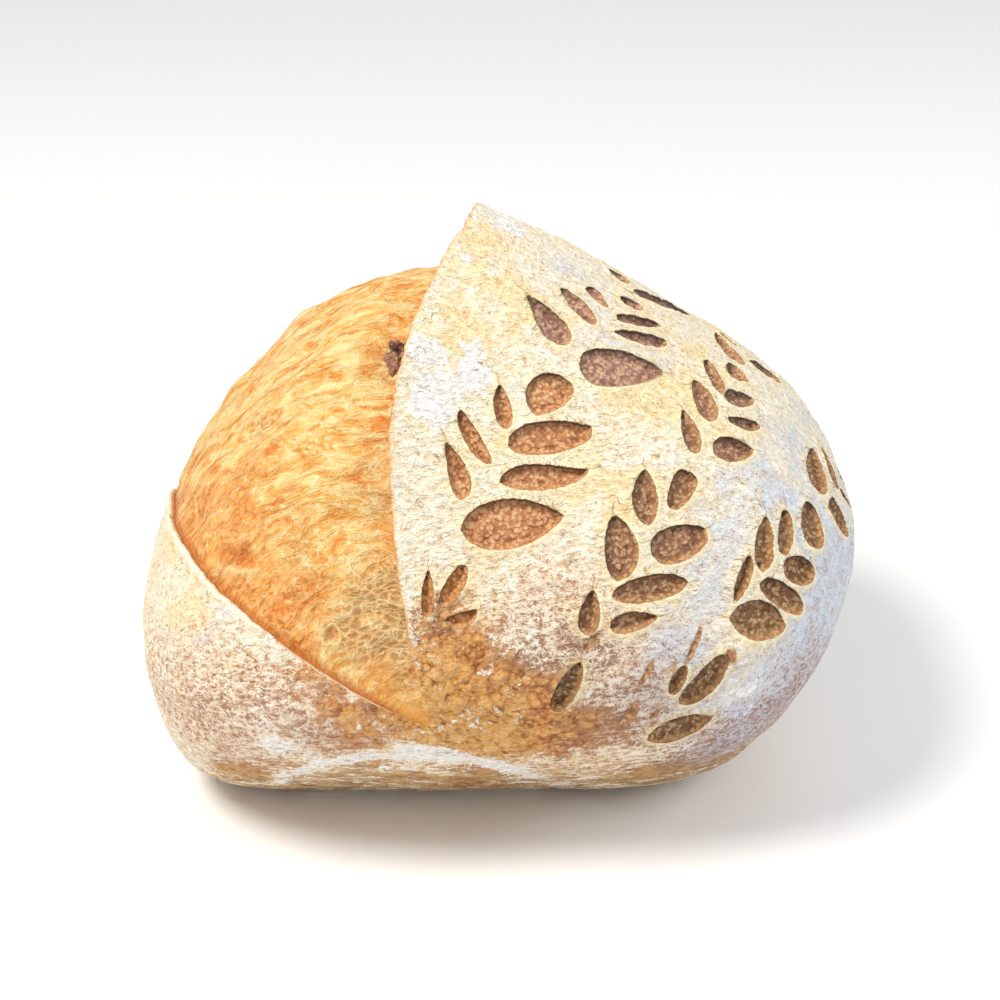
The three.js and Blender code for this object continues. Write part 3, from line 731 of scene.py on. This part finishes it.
def loaf_rings():
    """Every ring of the loaf as one grid: its points, what covers them, the crumb's flow, its poles,
    and each wedge's columns."""
    t = np.arange(1, STATIONS) / STATIONS
    theta = (math.pi * t - FRONT_CROWDING * np.sin(math.pi * t))[:, None]
    open_ = opening(theta)
    ear = ear_longitude(theta) + 0.45 * DEGREE * open_ * wavering(theta, EAR_WANDER)
    lip = lip_longitude(theta) + 0.55 * DEGREE * open_ * wavering(theta, LIP_WANDER)
    root = ear + EAR_UNDERCUT * DEGREE * open_

    spans, start = [], ear
    for name in CRUST_SPANS:
        end = np.full_like(theta, SEAM_DEGREES[name] * DEGREE) if name in SEAM_DEGREES else lip + 2 * math.pi
        share = np.arange(COLUMNS[name]) / COLUMNS[name]
        spans.append(start + (end - start) * share)
        start = end
    phi = np.concatenate([*spans, lip + 2 * math.pi], axis=1)
    crust = crust_point(theta, phi)

    share = np.linspace(0, 1, COLUMNS["bloom"])[None, :]
    bloom_phi = lip + (root - lip) * share
    lip_rise = -LIP_STEP * open_
    root_rise = lip_rise + EAR_ROOT_SHARE * ear_lift(theta, root)
    bloom_rise = lip_rise + (root_rise - lip_rise) * share**8
    bloom = point_at(theta, bloom_phi, closed_reach(theta, bloom_phi) + bloom_rise)

    share = (np.arange(1, COLUMNS["underside"] + 1) / COLUMNS["underside"])[None, :]
    root_reach = closed_reach(theta, root) + root_rise
    edge_reach = closed_reach(theta, ear) + ear_lift(theta, ear) - EAR_EDGE * open_
    under_phi = root + (ear - root) * share**1.4
    underside = point_at(theta, under_phi, root_reach + (edge_reach - root_reach) * share)

    poles = np.array([crust_point(0.0, 0.0), crust_point(math.pi, 0.0)])
    smooth = np.concatenate([crust, bloom, underside], axis=1)
    swollen = smooth + unit(smooth - HEART) * undulation(smooth)[..., None]
    normals = ring_normals(smooth, poles)
    on_crust = slice(0, crust.shape[1])
    on_bloom = slice(on_crust.stop, on_crust.stop + bloom.shape[1])
    crust, crust_cover = shape_crust(swollen[:, on_crust], normals[:, on_crust], theta)
    bloom, bloom_cover, flow = shape_bloom(swollen[:, on_bloom], normals[:, on_bloom], theta)
    underside = swollen[:, on_bloom.stop :]

    sideways = unit(crust[:, 0] - crust[:, 3])
    wall = between(crust[:, -1], bloom[:, 0], COLUMNS["lip"], 0 * sideways)
    bead = between(underside[:, -1], crust[:, 0], COLUMNS["edge"], EDGE_BEAD * sideways * open_)
    whole = np.concatenate([crust, wall, bloom, underside, bead], axis=1)

    on_bloom = slice(on_crust.stop + COLUMNS["lip"], on_bloom.stop + COLUMNS["lip"])
    root_column = on_bloom.stop - 1
    names = ["under", "wall", *crust_cover, *bloom_cover]
    cover = {name: np.full(whole.shape[:2], ELSEWHERE.get(name, 0.0)) for name in names}
    cover["under"][:, root_column:] = 1.0
    cover["wall"][:, on_crust.stop : on_bloom.start + 1] = np.linspace(0, 1, COLUMNS["lip"] + 2)[1:]
    for columns, covers in ((on_crust, crust_cover), (on_bloom, bloom_cover)):
        for name, values in covers.items():
            cover[name][:, columns] = values

    ends = np.cumsum([COLUMNS[name] for name in CRUST_SPANS])
    starts = [root_column - whole.shape[1], *ends[:-1]]
    stops = [*ends[:-1], on_bloom.start]
    wedges = {
        f"{name}_crust": np.arange(start, stop + 1) for name, start, stop in zip(CRUST_SPANS, starts, stops)
    }
    wedges["burst_crumb"] = np.arange(on_bloom.start, root_column + 1)
    return whole, cover, flow, poles, wedges


# ---------------------------------------------------------------- meshes


def linked(name, data):
    """A new object in the scene."""
    obj = bpy.data.objects.new(name, data)
    bpy.context.scene.collection.objects.link(obj)
    return obj


def add_cover(mesh, title, values, kind="FLOAT", field="value"):
    attribute = mesh.attributes.new(title, kind, "POINT")
    attribute.data.foreach_set(field, values.astype(np.float32).ravel())


def smooth_shaded(mesh):
    mesh.polygons.foreach_set("use_smooth", np.ones(len(mesh.polygons), bool))


def wedge(name, points, normals, poles, cover, flow):
    """A closed solid: a strip of the skin, and two walls in from it to the line between the poles."""
    rows, columns = points.shape[:2]
    way = np.arange(1, rows + 1)[:, None] / (rows + 1)
    core = poles[0] + (poles[1] - poles[0]) * way
    vertices = np.concatenate([points.reshape(-1, 3), core, poles])
    grid = np.arange(rows * columns).reshape(rows, columns)
    middle = rows * columns + np.arange(rows)[:, None]
    front = rows * columns + rows
    strip = np.concatenate([grid, middle, grid[:, :1]], axis=1)
    quads = np.stack([strip[:-1, :-1], strip[:-1, 1:], strip[1:, 1:], strip[1:, :-1]], -1).reshape(-1, 4)
    first, last = strip[0], strip[-1]
    front_fan = np.stack([np.full(len(first) - 1, front), first[1:], first[:-1]], -1)
    back_fan = np.stack([np.full(len(last) - 1, front + 1), last[:-1], last[1:]], -1)
    triangles = np.concatenate([front_fan, back_fan])

    mesh = bpy.data.meshes.new(name)
    mesh.vertices.add(len(vertices))
    mesh.vertices.foreach_set("co", (vertices * MM).astype(np.float32).ravel())
    corners = np.concatenate([quads.ravel(), triangles.ravel()])
    sizes = np.concatenate([np.full(len(quads), 4), np.full(len(triangles), 3)])
    mesh.loops.add(len(corners))
    mesh.loops.foreach_set("vertex_index", corners.astype(np.int32))
    mesh.polygons.add(len(sizes))
    mesh.polygons.foreach_set("loop_start", (np.cumsum(sizes) - sizes).astype(np.int32))
    for title, values in cover.items():
        add_cover(mesh, title, np.concatenate([values.ravel(), np.zeros(rows), values[[0, -1]].mean(1)]))
    if flow is not None:
        padded = np.concatenate([flow.reshape(-1, 3), np.zeros((rows + 2, 3))])
        add_cover(mesh, "flow", padded, "FLOAT_VECTOR", "vector")
    mesh.update(calc_edges=True)
    smooth_shaded(mesh)
    inner = np.tile((0.0, 0.0, 1.0), (rows, 1))
    shown = np.concatenate([normals.reshape(-1, 3), inner, normals[[0, -1]].mean(1)])
    mesh.normals_split_custom_set_from_vertices(shown.astype(np.float32))
    return linked(name, mesh)


def torn_scab():
    """A dark lump of crust, torn off the ear's edge and baked hard."""
    theta = SCAB["theta"] * DEGREE
    phi = ear_longitude(theta) + SCAB["beside_ear"] * DEGREE
    rise = ear_lift(theta, ear_longitude(theta)) - SCAB["below"]
    place = point_at(theta, phi, closed_reach(theta, phi) + rise)
    builder = bmesh.new()
    bmesh.ops.create_icosphere(builder, subdivisions=6, radius=1.0)
    mesh = bpy.data.meshes.new("torn_scab")
    builder.to_mesh(mesh)
    builder.free()
    ball = np.empty(len(mesh.vertices) * 3)
    mesh.vertices.foreach_get("co", ball)
    ball = ball.reshape(-1, 3)
    lump = ball * np.array(SCAB["size"])
    folds = layered(lump, 3.0, 91, octaves=3, fall=0.6)
    splinters = sum(smoothstep(ball @ np.array(toward), 0.90, 1.0) for toward in SCAB_SPIKES)
    grown = lump * (0.80 + 0.42 * folds + 0.60 * splinters)[:, None]
    mesh.vertices.foreach_set("co", ((grown + place) * MM).astype(np.float32).ravel())
    add_cover(mesh, "height", 0.5 + 0.5 * folds)
    mesh.update()
    smooth_shaded(mesh)
    return linked("torn_scab", mesh)


# ---------------------------------------------------------------- materials

MIX_START, MIX_END, MIX_RESULT = 6, 7, 2  # a Mix node's colour sockets


def srgb(*display):
    """A colour from its 0..255 display values."""
    return tuple(
        value / 12.92 if value <= 0.04045 else ((value + 0.055) / 1.055) ** 2.4
        for value in (channel / 255 for channel in display)
    ) + (1.0,)


class Shader:
    """A material under construction. Every method adds a node and returns its output."""

    def __init__(self, name):
        self.material = bpy.data.materials.new(name)
        self.material.use_nodes = True
        self.tree = self.material.node_tree
        self.surface = self.tree.nodes["Principled BSDF"]
        self.count = 0
        self.place = self.maths3("SCALE", self.node("ShaderNodeTexCoord").outputs["Object"], scale=1 / MM)

    def node(self, kind, **settings):
        node = self.tree.nodes.new(kind)
        node.location = (-220 - 220 * (self.count % 12), -180 * (self.count // 12))
        self.count += 1
        for name, value in settings.items():
            setattr(node, name, value)
        return node

    def feed(self, socket, value):
        if isinstance(value, bpy.types.NodeSocket):
            self.tree.links.new(value, socket)
        else:
            socket.default_value = value

    def maths(self, operation, *values):
        node = self.node("ShaderNodeMath", operation=operation)
        for socket, value in zip(node.inputs, values):
            self.feed(socket, value)
        return node.outputs[0]

    def total(self, *terms):
        """The sum of terms, each a number, an output, or an output with its weight."""
        result = None
        for term in terms:
            value = self.maths("MULTIPLY", *term) if isinstance(term, tuple) else term
            result = value if result is None else self.maths("ADD", result, value)
        return result

    def product(self, first, *others):
        for other in others:
            first = self.maths("MULTIPLY", first, other)
        return first

    def larger(self, first, second):
        return self.maths("MAXIMUM", first, second)

    def maths3(self, operation, *values, scale=None):
        node = self.node("ShaderNodeVectorMath", operation=operation)
        for socket, value in zip(node.inputs, values):
            self.feed(socket, value)
        if scale is not None:
            self.feed(node.inputs["Scale"], scale)
        return node.outputs["Vector"]

    def cover(self, name, output="Fac"):
        return self.node("ShaderNodeAttribute", attribute_name=name).outputs[output]

    def step(self, value, low, high):
        """0 below low and 1 above high, softly between. The two may be given the other way round."""
        node = self.node("ShaderNodeMapRange", interpolation_type="SMOOTHSTEP")
        self.feed(node.inputs["Value"], value)
        flip = low > high
        node.inputs["From Min"].default_value = min(low, high)
        node.inputs["From Max"].default_value = max(low, high)
        node.inputs["To Min"].default_value = float(flip)
        node.inputs["To Max"].default_value = float(not flip)
        return node.outputs["Result"]

    def mix(self, share, start, end):
        """Between two colours, each an output or its 0..255 display values."""
        node = self.node("ShaderNodeMix", data_type="RGBA")
        self.feed(node.inputs["Factor"], share)
        for socket, colour in ((MIX_START, start), (MIX_END, end)):
            self.feed(node.inputs[socket], srgb(*colour) if isinstance(colour, tuple) else colour)
        return node.outputs[MIX_RESULT]

    def tint(self, base, colour, *shares):
        """The base, covered with a colour by the product of the shares."""
        return self.mix(self.product(*shares), base, colour)

    def noise(self, size, detail=2.0, roughness=0.5, vector=None, output="Fac"):
        node = self.node("ShaderNodeTexNoise")
        self.feed(node.inputs["Vector"], vector or self.place)
        node.inputs["Scale"].default_value = 1 / size
        node.inputs["Detail"].default_value = detail
        node.inputs["Roughness"].default_value = roughness
        return node.outputs[output]

    def cells(self, size, feature="F1", vector=None, dimensions="3D"):
        node = self.node("ShaderNodeTexVoronoi", feature=feature, voronoi_dimensions=dimensions)
        self.feed(node.inputs["Vector"], vector or self.place)
        node.inputs["Scale"].default_value = 1 / size
        return node.outputs["Distance"]

    def stretched(self, turn, scale, vector=None):
        """The place, turned by angles in degrees and then scaled along each axis."""
        turned = self.node("ShaderNodeVectorRotate", rotation_type="EULER_XYZ")
        self.feed(turned.inputs["Vector"], vector or self.place)
        turned.inputs["Rotation"].default_value = [angle * DEGREE for angle in turn]
        return self.maths3("MULTIPLY", turned.outputs[0], scale)

    def shaken(self, size, amount, vector=None, detail=1.0):
        """The place, shaken by noise."""
        shake = self.noise(size, detail, vector=vector, output="Color")
        shake = self.maths3("SUBTRACT", shake, (0.5, 0.5, 0.5))
        return self.maths3("ADD", vector or self.place, self.maths3("SCALE", shake, scale=amount))

    def vector(self, x, y, z):
        node = self.node("ShaderNodeCombineXYZ")
        for socket, value in zip(node.inputs, (x, y, z)):
            self.feed(socket, value)
        return node.outputs[0]

    def lines(self, noise, width):
        """Thin lines where noise crosses its middle."""
        return self.step(self.maths("ABSOLUTE", self.maths("SUBTRACT", noise, 0.5)), width, 0.0)

    def finish(self, colour, roughness, height):
        """Height is in millimetres."""
        self.feed(self.surface.inputs["Base Color"], colour)
        self.feed(self.surface.inputs["Roughness"], roughness)
        bump = self.node("ShaderNodeBump")
        bump.inputs["Strength"].default_value = 1.0
        bump.inputs["Distance"].default_value = MM
        self.feed(bump.inputs["Height"], height)
        self.feed(self.surface.inputs["Normal"], bump.outputs["Normal"])
        return self.material


class Crust(Shader):
    """The crust, with the covers and textures that its layers share."""

    def __init__(self):
        super().__init__("floured_crust")
        for name in ("bare", "speckle", "white", "cool", "sole", "cut", "deep"):
            setattr(self, name, self.cover(name))
        self.over, self.beyond = self.cover("overhang"), self.cover("beyond_tip")
        self.clad = self.maths("SUBTRACT", 1.0, self.bare)
        self.crumbs = self.noise(1.4, 2.0, 0.66)
        self.powder = self.noise(0.5, 2.0, 0.6)
        self.mottle = self.noise(3.4, 3.0, 0.6)
        pebbles = self.shaken(2.2, 1.0, detail=0.0)
        self.small = self.step(self.cells(1.45, vector=pebbles), 0.82, 0.25)
        large = self.step(self.cells(3.2, vector=pebbles), 0.66, 0.25)
        self.knobs = self.total(self.larger(large, self.product(self.small, 0.8)), (self.crumbs, 0.8))
        self.drift = self.shaken(4.5, 2.6)
        across = self.stretched((0, 8, 6), (0.30, 0.75, 0.80), self.drift)
        self.wrinkles = self.noise(1.0, 2.0, 0.66, across)
        # Lighter on the wrinkles' ridges and darker in their valleys: painted light and shade.
        self.lit_ridge = self.step(self.total(self.wrinkles, (self.crumbs, 0.5)), 0.62, 0.88)


def flour_coat(s):
    """How much flour there is, and its colour. It lies thick, in grains or not at all, and in thin
    streaks on the underside."""
    brushed = s.noise(1.0, 3.0, 0.6, s.stretched((0, 40, 0), (0.05, 0.14, 0.17), s.shaken(12.0, 5.0)))
    streaks = s.noise(1.0, 2.0, 0.6, s.maths3("MULTIPLY", s.drift, (0.07, 0.45, 0.55)))
    streaks = s.product(s.sole, s.step(streaks, 0.50, 0.60))
    amount = s.total(0.66, (s.speckle, -0.48), (s.bare, -0.85), (s.white, 0.5), (brushed, 0.4))
    chalk = s.step(s.total((s.white, 0.8), (brushed, 1.8), (s.mottle, 0.3), s.crumbs), 1.88, 2.20)
    grains = s.total((s.crumbs, 1.2), (s.powder, 1.7), (s.wrinkles, 1.5), -2.20)
    dust = s.total(amount, grains, chalk, (s.sole, -0.8), (streaks, 0.75))

    # Colours mixed by the ridge mask are lighter on the ridges and darker in the valleys: painted light and
    # shade.
    cream = s.mix(s.lit_ridge, (234, 219, 188), (250, 243, 224))
    golden = s.step(s.total(s.cover("yellow"), (brushed, 1.8), (s.mottle, 0.6)), 1.30, 1.95)
    cream = s.mix(golden, cream, s.mix(s.lit_ridge, (238, 209, 154), (253, 233, 188)))
    # The cool grey-blue of the flour on the right: partly its own tone, partly painted cool light.
    cool_flour_and_light = s.mix(s.step(s.mottle, 0.36, 0.60), (208, 201, 206), (211, 220, 229))
    cream = s.mix(s.step(s.total(s.cool, (brushed, 1.6), -0.80), 0.05, 0.90), cream, cool_flour_and_light)
    # Where the flour is thin it is pinkish, and a darker lavender where the cool spots paint shade.
    cream = s.tint(cream, s.mix(s.cool, (238, 212, 184), (192, 182, 190)), s.speckle, 0.45)
    return s.step(dust, 0.04, 0.76), s.mix(chalk, cream, s.mix(s.lit_ridge, (228, 222, 216), (252, 249, 243)))


def bare_skin(s):
    """The skin below the flour: golden and blistered where it is bare, pinkish below thin flour."""
    blotches = s.step(s.noise(5.0, 3.0, 0.6), 0.38, 0.62)
    brown = s.cover("brown")
    skin = s.mix(blotches, (184, 98, 36), (228, 154, 68))
    skin = s.tint(skin, (158, 92, 46), brown, 0.8)
    skin = s.tint(skin, (222, 160, 74), s.cover("gold"), 0.8)
    # Darker between the knobs and paler on their tops and domes: partly the skin's own colour, partly painted
    # shade and painted highlight.
    skin = s.tint(skin, (128, 66, 28), s.step(s.knobs, 0.80, 0.45), 0.75)
    skin = s.tint(skin, (244, 196, 124), s.larger(s.step(s.knobs, 1.00, 1.50), s.cover("domes")), 0.62)
    # Pinkish skin below thin flour, lighter on the ridges and darker in the valleys as painted light and
    # shade.
    skin = s.tint(skin, s.mix(s.lit_ridge, (166, 117, 92), (212, 168, 136)), s.speckle, s.clad, 0.85)
    # Darker brown where brown skin shows through thin flour, and painted shade where the cool spots lie.
    skin = s.tint(skin, (134, 96, 74), s.larger(s.product(brown, s.speckle), s.cool), s.clad, 0.75)
    return s.tint(skin, s.mix(blotches, (156, 116, 66), (196, 160, 104)), s.sole, 0.8)


def cracked(s, colour):
    """Fine cracks between plates of flour, a few longer fissures, and the blisters' rims."""
    plates = s.cells(1.0, "DISTANCE_TO_EDGE", s.stretched((0, 8, 6), (0.30, 0.80, 0.90), s.drift))
    creases = s.product(s.step(plates, 0.09, 0.01), s.step(s.noise(2.2), 0.46, 0.62))
    creases = s.product(creases, s.step(s.noise(6.0), 0.40, 0.62), s.clad)
    colour = s.tint(colour, (160, 114, 82), creases, s.total(0.30, (s.step(s.cut, 4.5, 1.0), 0.30)))
    fissures = s.noise(1.0, 1.0, 0.5, s.stretched((0, -18, 10), (0.10, 0.30, 0.30), s.drift))
    fissures = s.product(s.lines(fissures, 0.013), s.step(s.noise(8.0, 1.0), 0.55, 0.62))
    colour = s.tint(colour, (112, 74, 52), fissures, 0.70)
    return s.tint(colour, (236, 204, 146), s.cover("blister"), 0.35)


def torn_edges(s, colour):
    """Pale along the lip, partly a painted highlight on its raised edge, toasted below it and along the ear.
    """
    # Pale along the lip's raised edge: partly its own colour, partly a painted highlight.
    colour = s.tint(colour, (253, 242, 214), s.step(s.total(s.cover("from_lip"), s.mottle), 2.0, 0.8))
    colour = s.tint(colour, (192, 108, 44), s.step(s.cover("wall"), 0.20, 0.65))
    return s.tint(colour, (242, 206, 158), s.step(s.cover("from_ear"), 1.2, 0.2), 0.5)


def around_cuts(s, colour):
    """A pale halo, brightest below each cut where its rim is partly a painted highlight, short tears above it
    and a hairline off its tip.
    """
    near = s.total(s.cut, (s.mottle, 4.0))
    colour = s.tint(colour, (252, 226, 160), s.step(near, 5.0, 2.0), s.total(0.40, (s.bare, -0.40)), s.deep)
    # The pale rim on the lower side of each cut: partly its own colour, partly a painted highlight.
    rim = s.product(s.step(s.total(s.cut, (s.mottle, 2.0)), 2.5, 1.0), s.step(s.over, 0.4, -0.4), s.deep)
    colour = s.tint(colour, (255, 240, 200), rim, s.total(0.80, (s.bare, -0.70)))
    frayed = s.total((s.beyond, 0.40), s.noise(3.0))
    tears = s.noise(1.0, 0.0, 0.5, s.vector(frayed, s.product(s.cut, 0.12), 0.0))
    tears = s.product(s.lines(tears, 0.045), s.step(near, 4.8, 3.0), s.step(s.over, -0.2, 0.3))
    tears = s.product(tears, s.step(s.noise(4.0, 1.0), 0.44, 0.52))
    wander = s.maths("ABSOLUTE", s.total(s.cover("across_cut"), (s.noise(2.4), 1.8), -0.9))
    hairline = s.product(s.step(wander, 0.24, 0.06), s.step(s.beyond, -0.8, 0.2), s.step(s.beyond, 4.5, 2.0))
    return s.tint(colour, (96, 64, 46), s.larger(tears, hairline), s.step(s.cut, 0.0, 0.3), s.deep, 0.60)


def cut_floor(s):
    """Brown leather covered with small pale bubbles, darker between them and paler on their tops as partly
    painted shade and highlight, with painted shade and a painted shadow line below the edge that overhangs
    it, and painted light on the side across from it.
    """
    dark = s.cover("dark_floor")
    leather = s.mix(dark, s.mix(s.cover("orange_floor"), (174, 132, 118), (208, 134, 64)), (114, 82, 46))
    bubble = s.total(s.larger(s.cover("bubble"), s.product(s.small, 0.85)), (s.crumbs, 1.1), -0.55)
    # Darker between the bubbles and paler on their tops: partly their own colour, partly painted shade and
    # painted highlight.
    floor = s.mix(s.step(bubble, 0.14, 0.56), s.mix(0.50, leather, (92, 50, 28)), leather)
    floor = s.tint(floor, s.mix(dark, (246, 208, 160), (214, 178, 124)), s.step(bubble, 0.46, 1.0), 0.62)
    # Painted shade fading from the overhanging edge into the floor, and a painted shadow line right under
    # that edge.
    below = s.product(s.step(s.over, -0.2, 0.5), s.deep)
    floor = s.tint(floor, (88, 52, 36), s.step(s.total(s.cut, (s.crumbs, 1.4)), -1.6, 0.8), below, 0.50)
    floor = s.tint(floor, (42, 26, 20), s.step(s.total(s.cut, (s.crumbs, 0.2)), -0.36, -0.04), below, 0.80)
    # Painted light: a lighter orange on the floor's lower side, across from the overhang.
    lit_side = s.product(s.step(s.total(s.cut, s.crumbs), -1.4, 0.6), s.step(s.over, 0.1, -0.5))
    return s.tint(floor, (222, 158, 98), lit_side, 0.45)


def crust_material():
    s = Crust()
    flour, floury = flour_coat(s)
    colour = cracked(s, s.mix(flour, bare_skin(s), floury))
    inside = s.step(s.cut, 0.10, -0.10)
    outside = s.maths("SUBTRACT", 1.0, inside)
    colour = s.mix(inside, around_cuts(s, torn_edges(s, colour)), cut_floor(s))
    underside = s.step(s.total(s.wrinkles, (s.mottle, 0.8)), 0.70, 1.10)
    colour = s.tint(colour, s.mix(underside, (204, 128, 58), (240, 186, 112)), s.cover("under"), 0.85)
    raised = s.larger(inside, s.product(s.bare, outside))
    height = s.total((s.product(s.wrinkles, outside), 1.5), (s.crumbs, 0.60), (s.powder, 0.34))
    height = s.total(height, (s.product(s.small, raised), 0.42))
    return s.finish(colour, s.total(0.46, s.product(flour, outside, 0.42)), height)


def crumb_material():
    s = Shader("burst_crumb")
    height, toast, pale, from_ear = (s.cover(name) for name in ("height", "toast", "pale", "from_ear"))
    flow = s.shaken(2.6, 0.6, s.shaken(9.0, 5.0, s.cover("flow", "Vector")))

    def strands(turn, across, along, detail):
        return s.noise(1.0, detail, 0.6, s.stretched((0, 0, turn), (across, along, 1), flow))

    def net(turn, across, along, vector):
        return s.cells(1.0, "DISTANCE_TO_EDGE", s.stretched((0, 0, turn), (across, along, 1), vector), "2D")

    tufts = strands(8, 0.16, 0.07, 3.0)
    wisps = strands(-6, 0.42, 0.09, 3.0)
    fibre = strands(0, 1.0, 0.13, 2.0)
    threads = s.product(s.step(net(-14, 0.75, 0.22, flow), 0.08, 0.0), 0.8)
    threads = s.larger(s.step(net(10, 0.50, 0.17, flow), 0.10, 0.0), threads)
    threads = s.larger(threads, s.product(s.lines(fibre, 0.035), 0.7))
    grain = s.noise(0.8, 2.0, 0.65)
    drops = s.step(s.cells(1.5, vector=s.shaken(1.8, 1.0, detail=0.0)), 0.78, 0.22)
    web = s.step(net(4, 0.62, 0.36, s.shaken(1.6, 0.8, flow)), 0.30, 0.02)

    # Golden and fluffy, more orange where it has toasted; paler on the strands' ridges and more orange in
    # their hollows, partly the crumb's own colour and partly painted light and shade.
    level = s.total((height, 0.4), (wisps, 2.2), (tufts, 1.6), (fibre, 0.5), -1.75)
    gold = s.mix(s.step(level, 0.0, 0.50), (231, 144, 58), (243, 187, 100))
    gold = s.mix(s.step(level, 0.45, 1.00), gold, (253, 220, 148))
    orange = s.mix(s.step(level, 0.0, 0.85), (198, 98, 28), (238, 164, 76))
    baked = s.total(toast, (s.noise(9.0, 3.0), 1.4), -0.75)
    colour = s.mix(s.step(baked, 0.10, 0.80), gold, orange)
    # Orange in the hollows between tufts and wisps: partly their own colour, partly painted shade.
    colour = s.tint(colour, (224, 128, 42), s.step(tufts, 0.52, 0.36), s.step(wisps, 0.58, 0.46), 0.60)
    colour = s.tint(colour, (252, 204, 130), toast, drops, 0.45)
    colour = s.tint(colour, (188, 100, 38), toast, s.step(s.noise(2.8, 3.0, 0.6), 0.52, 0.64), 0.50)
    colour = s.tint(colour, s.mix(web, (176, 128, 74), (226, 186, 124)), pale, 0.85)
    # Pale threads, shown brightest on the wisps' tops as a painted highlight.
    lit = s.product(s.step(s.total(wisps, (grain, 0.5)), 0.66, 0.92), s.total(0.85, (toast, -0.35)))
    colour = s.tint(colour, (255, 242, 198), threads, lit)
    # Orange in the pockets and pale on their rims and folds: partly the crumb's own colour, partly painted
    # shade and painted highlight.
    colour = s.tint(colour, (214, 122, 44), s.cover("pocket"), 0.35)
    colour = s.tint(colour, (255, 228, 160), s.cover("pocket_rim"), 0.8)
    below_lip = s.step(s.total(s.cover("from_lip"), (grain, 3.0)), 4.8, 1.8)
    colour = s.tint(colour, (200, 114, 46), below_lip, 0.75)
    colour = s.tint(colour, (234, 160, 68), s.step(from_ear, 18.0, 6.0), s.total(0.75, (pale, -0.75)))
    bump = s.total((threads, 0.16), wisps, (tufts, 1.4), (fibre, 0.30), (grain, 0.25))
    s.surface.inputs["Specular IOR Level"].default_value = 0.3
    return s.finish(colour, 0.55, bump)


def scab_material():
    s = Shader("burnt_scab")
    grain = s.noise(0.9, 3.0, 0.6)
    colour = s.mix(s.step(s.cover("height"), 0.25, 0.85), (92, 56, 44), (172, 126, 98))
    colour = s.tint(colour, (196, 152, 118), s.step(grain, 0.58, 0.75))
    return s.finish(colour, 0.6, s.product(grain, 0.4))


# ---------------------------------------------------------------- the pieces

CRUST_COVERS = (
    "under", "wall", "bare", "speckle", "white", "yellow", "cool", "brown", "gold", "domes", "blister",
    "cut", "deep", "overhang", "beyond_tip", "across_cut", "orange_floor", "dark_floor", "bubble",
    "sole", "from_ear", "from_lip",
)
CRUMB_COVERS = ("height", "pocket", "pocket_rim", "toast", "pale", "from_ear", "from_lip")

points, cover, flow, poles, wedges = loaf_rings()
normals = ring_normals(points, poles)
crust_finish = crust_material()
crumb_finish = crumb_material()
pieces = []
for name, columns in wedges.items():
    crumb = name == "burst_crumb"
    shown = {title: cover[title][:, columns] for title in (CRUMB_COVERS if crumb else CRUST_COVERS)}
    piece = wedge(name, points[:, columns], normals[:, columns], poles, shown, flow if crumb else None)
    piece.data.materials.append(crumb_finish if crumb else crust_finish)
    pieces.append((piece, "crumb" if crumb else "crust"))
scab = torn_scab()
scab.data.materials.append(scab_material())
pieces.append((scab, "crust"))
for piece, slot_name in pieces:
    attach(piece, "root")
    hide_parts("loaf")

# ---------------------------------------------------------------- the stage

FLOOR_SIZE = 6.0
FLOOR_GREY = 250
WORLD_STRENGTH = 0.56
LIGHT_AIM = Vector((0, 0, 0.07))
LIGHTS = {  # place, size, power and colour
    "key": ((-0.6, -0.35, 1.15), 0.5, 13.0, (1.0, 0.96, 0.90)),
    "window": ((1.1, -0.1, 0.7), 0.8, 6.5, (0.86, 0.93, 1.0)),
}
CAMERA_TARGET = Vector((0.00085, 0.0015, 0.072))
CAMERA_ELEVATION_DEGREES = 27.0
CAMERA_DISTANCE = 0.651
CAMERA_LENS, CAMERA_SENSOR = 77.6, 36.0
CAMERA_NEAREST = 0.01


def pointed(obj, place, toward):
    """Puts a light or a camera at a place, with its -Z axis along a direction."""
    obj.location = place
    obj.rotation_euler = toward.to_track_quat("-Z", "Y").to_euler()


pale_floor = bpy.data.materials.new("pale_floor")
pale_floor.use_nodes = True
pale = pale_floor.node_tree.nodes["Principled BSDF"]
pale.inputs["Base Color"].default_value = srgb(FLOOR_GREY, FLOOR_GREY, FLOOR_GREY)
pale.inputs["Roughness"].default_value = 0.9
bpy.ops.mesh.primitive_plane_add(size=FLOOR_SIZE, location=(0, 0, 0))
floor = bpy.context.object
floor.name = "floor"
floor.data.materials.append(pale_floor)

for name, (place, size, power, colour) in LIGHTS.items():
    light = bpy.data.lights.new(name, "AREA")
    light.shape = "DISK"
    light.size = size
    light.energy = power
    light.color = colour
    pointed(linked(name, light), place, LIGHT_AIM - Vector(place))

world = bpy.data.worlds.new("studio")
bpy.context.scene.world = world
world.use_nodes = True
world.node_tree.nodes["Background"].inputs["Color"].default_value = (1.0, 1.0, 1.0, 1.0)
world.node_tree.nodes["Background"].inputs["Strength"].default_value = WORLD_STRENGTH

camera = linked("camera", bpy.data.cameras.new("camera"))
elevation = CAMERA_ELEVATION_DEGREES * DEGREE
back = Vector((0, -math.cos(elevation), math.sin(elevation)))
pointed(camera, CAMERA_TARGET + back * CAMERA_DISTANCE, -back)
camera.data.lens = CAMERA_LENS
camera.data.sensor_width = CAMERA_SENSOR
camera.data.clip_start = CAMERA_NEAREST
bpy.context.scene.camera = camera
bpy.context.scene.view_settings.view_transform = "Standard"
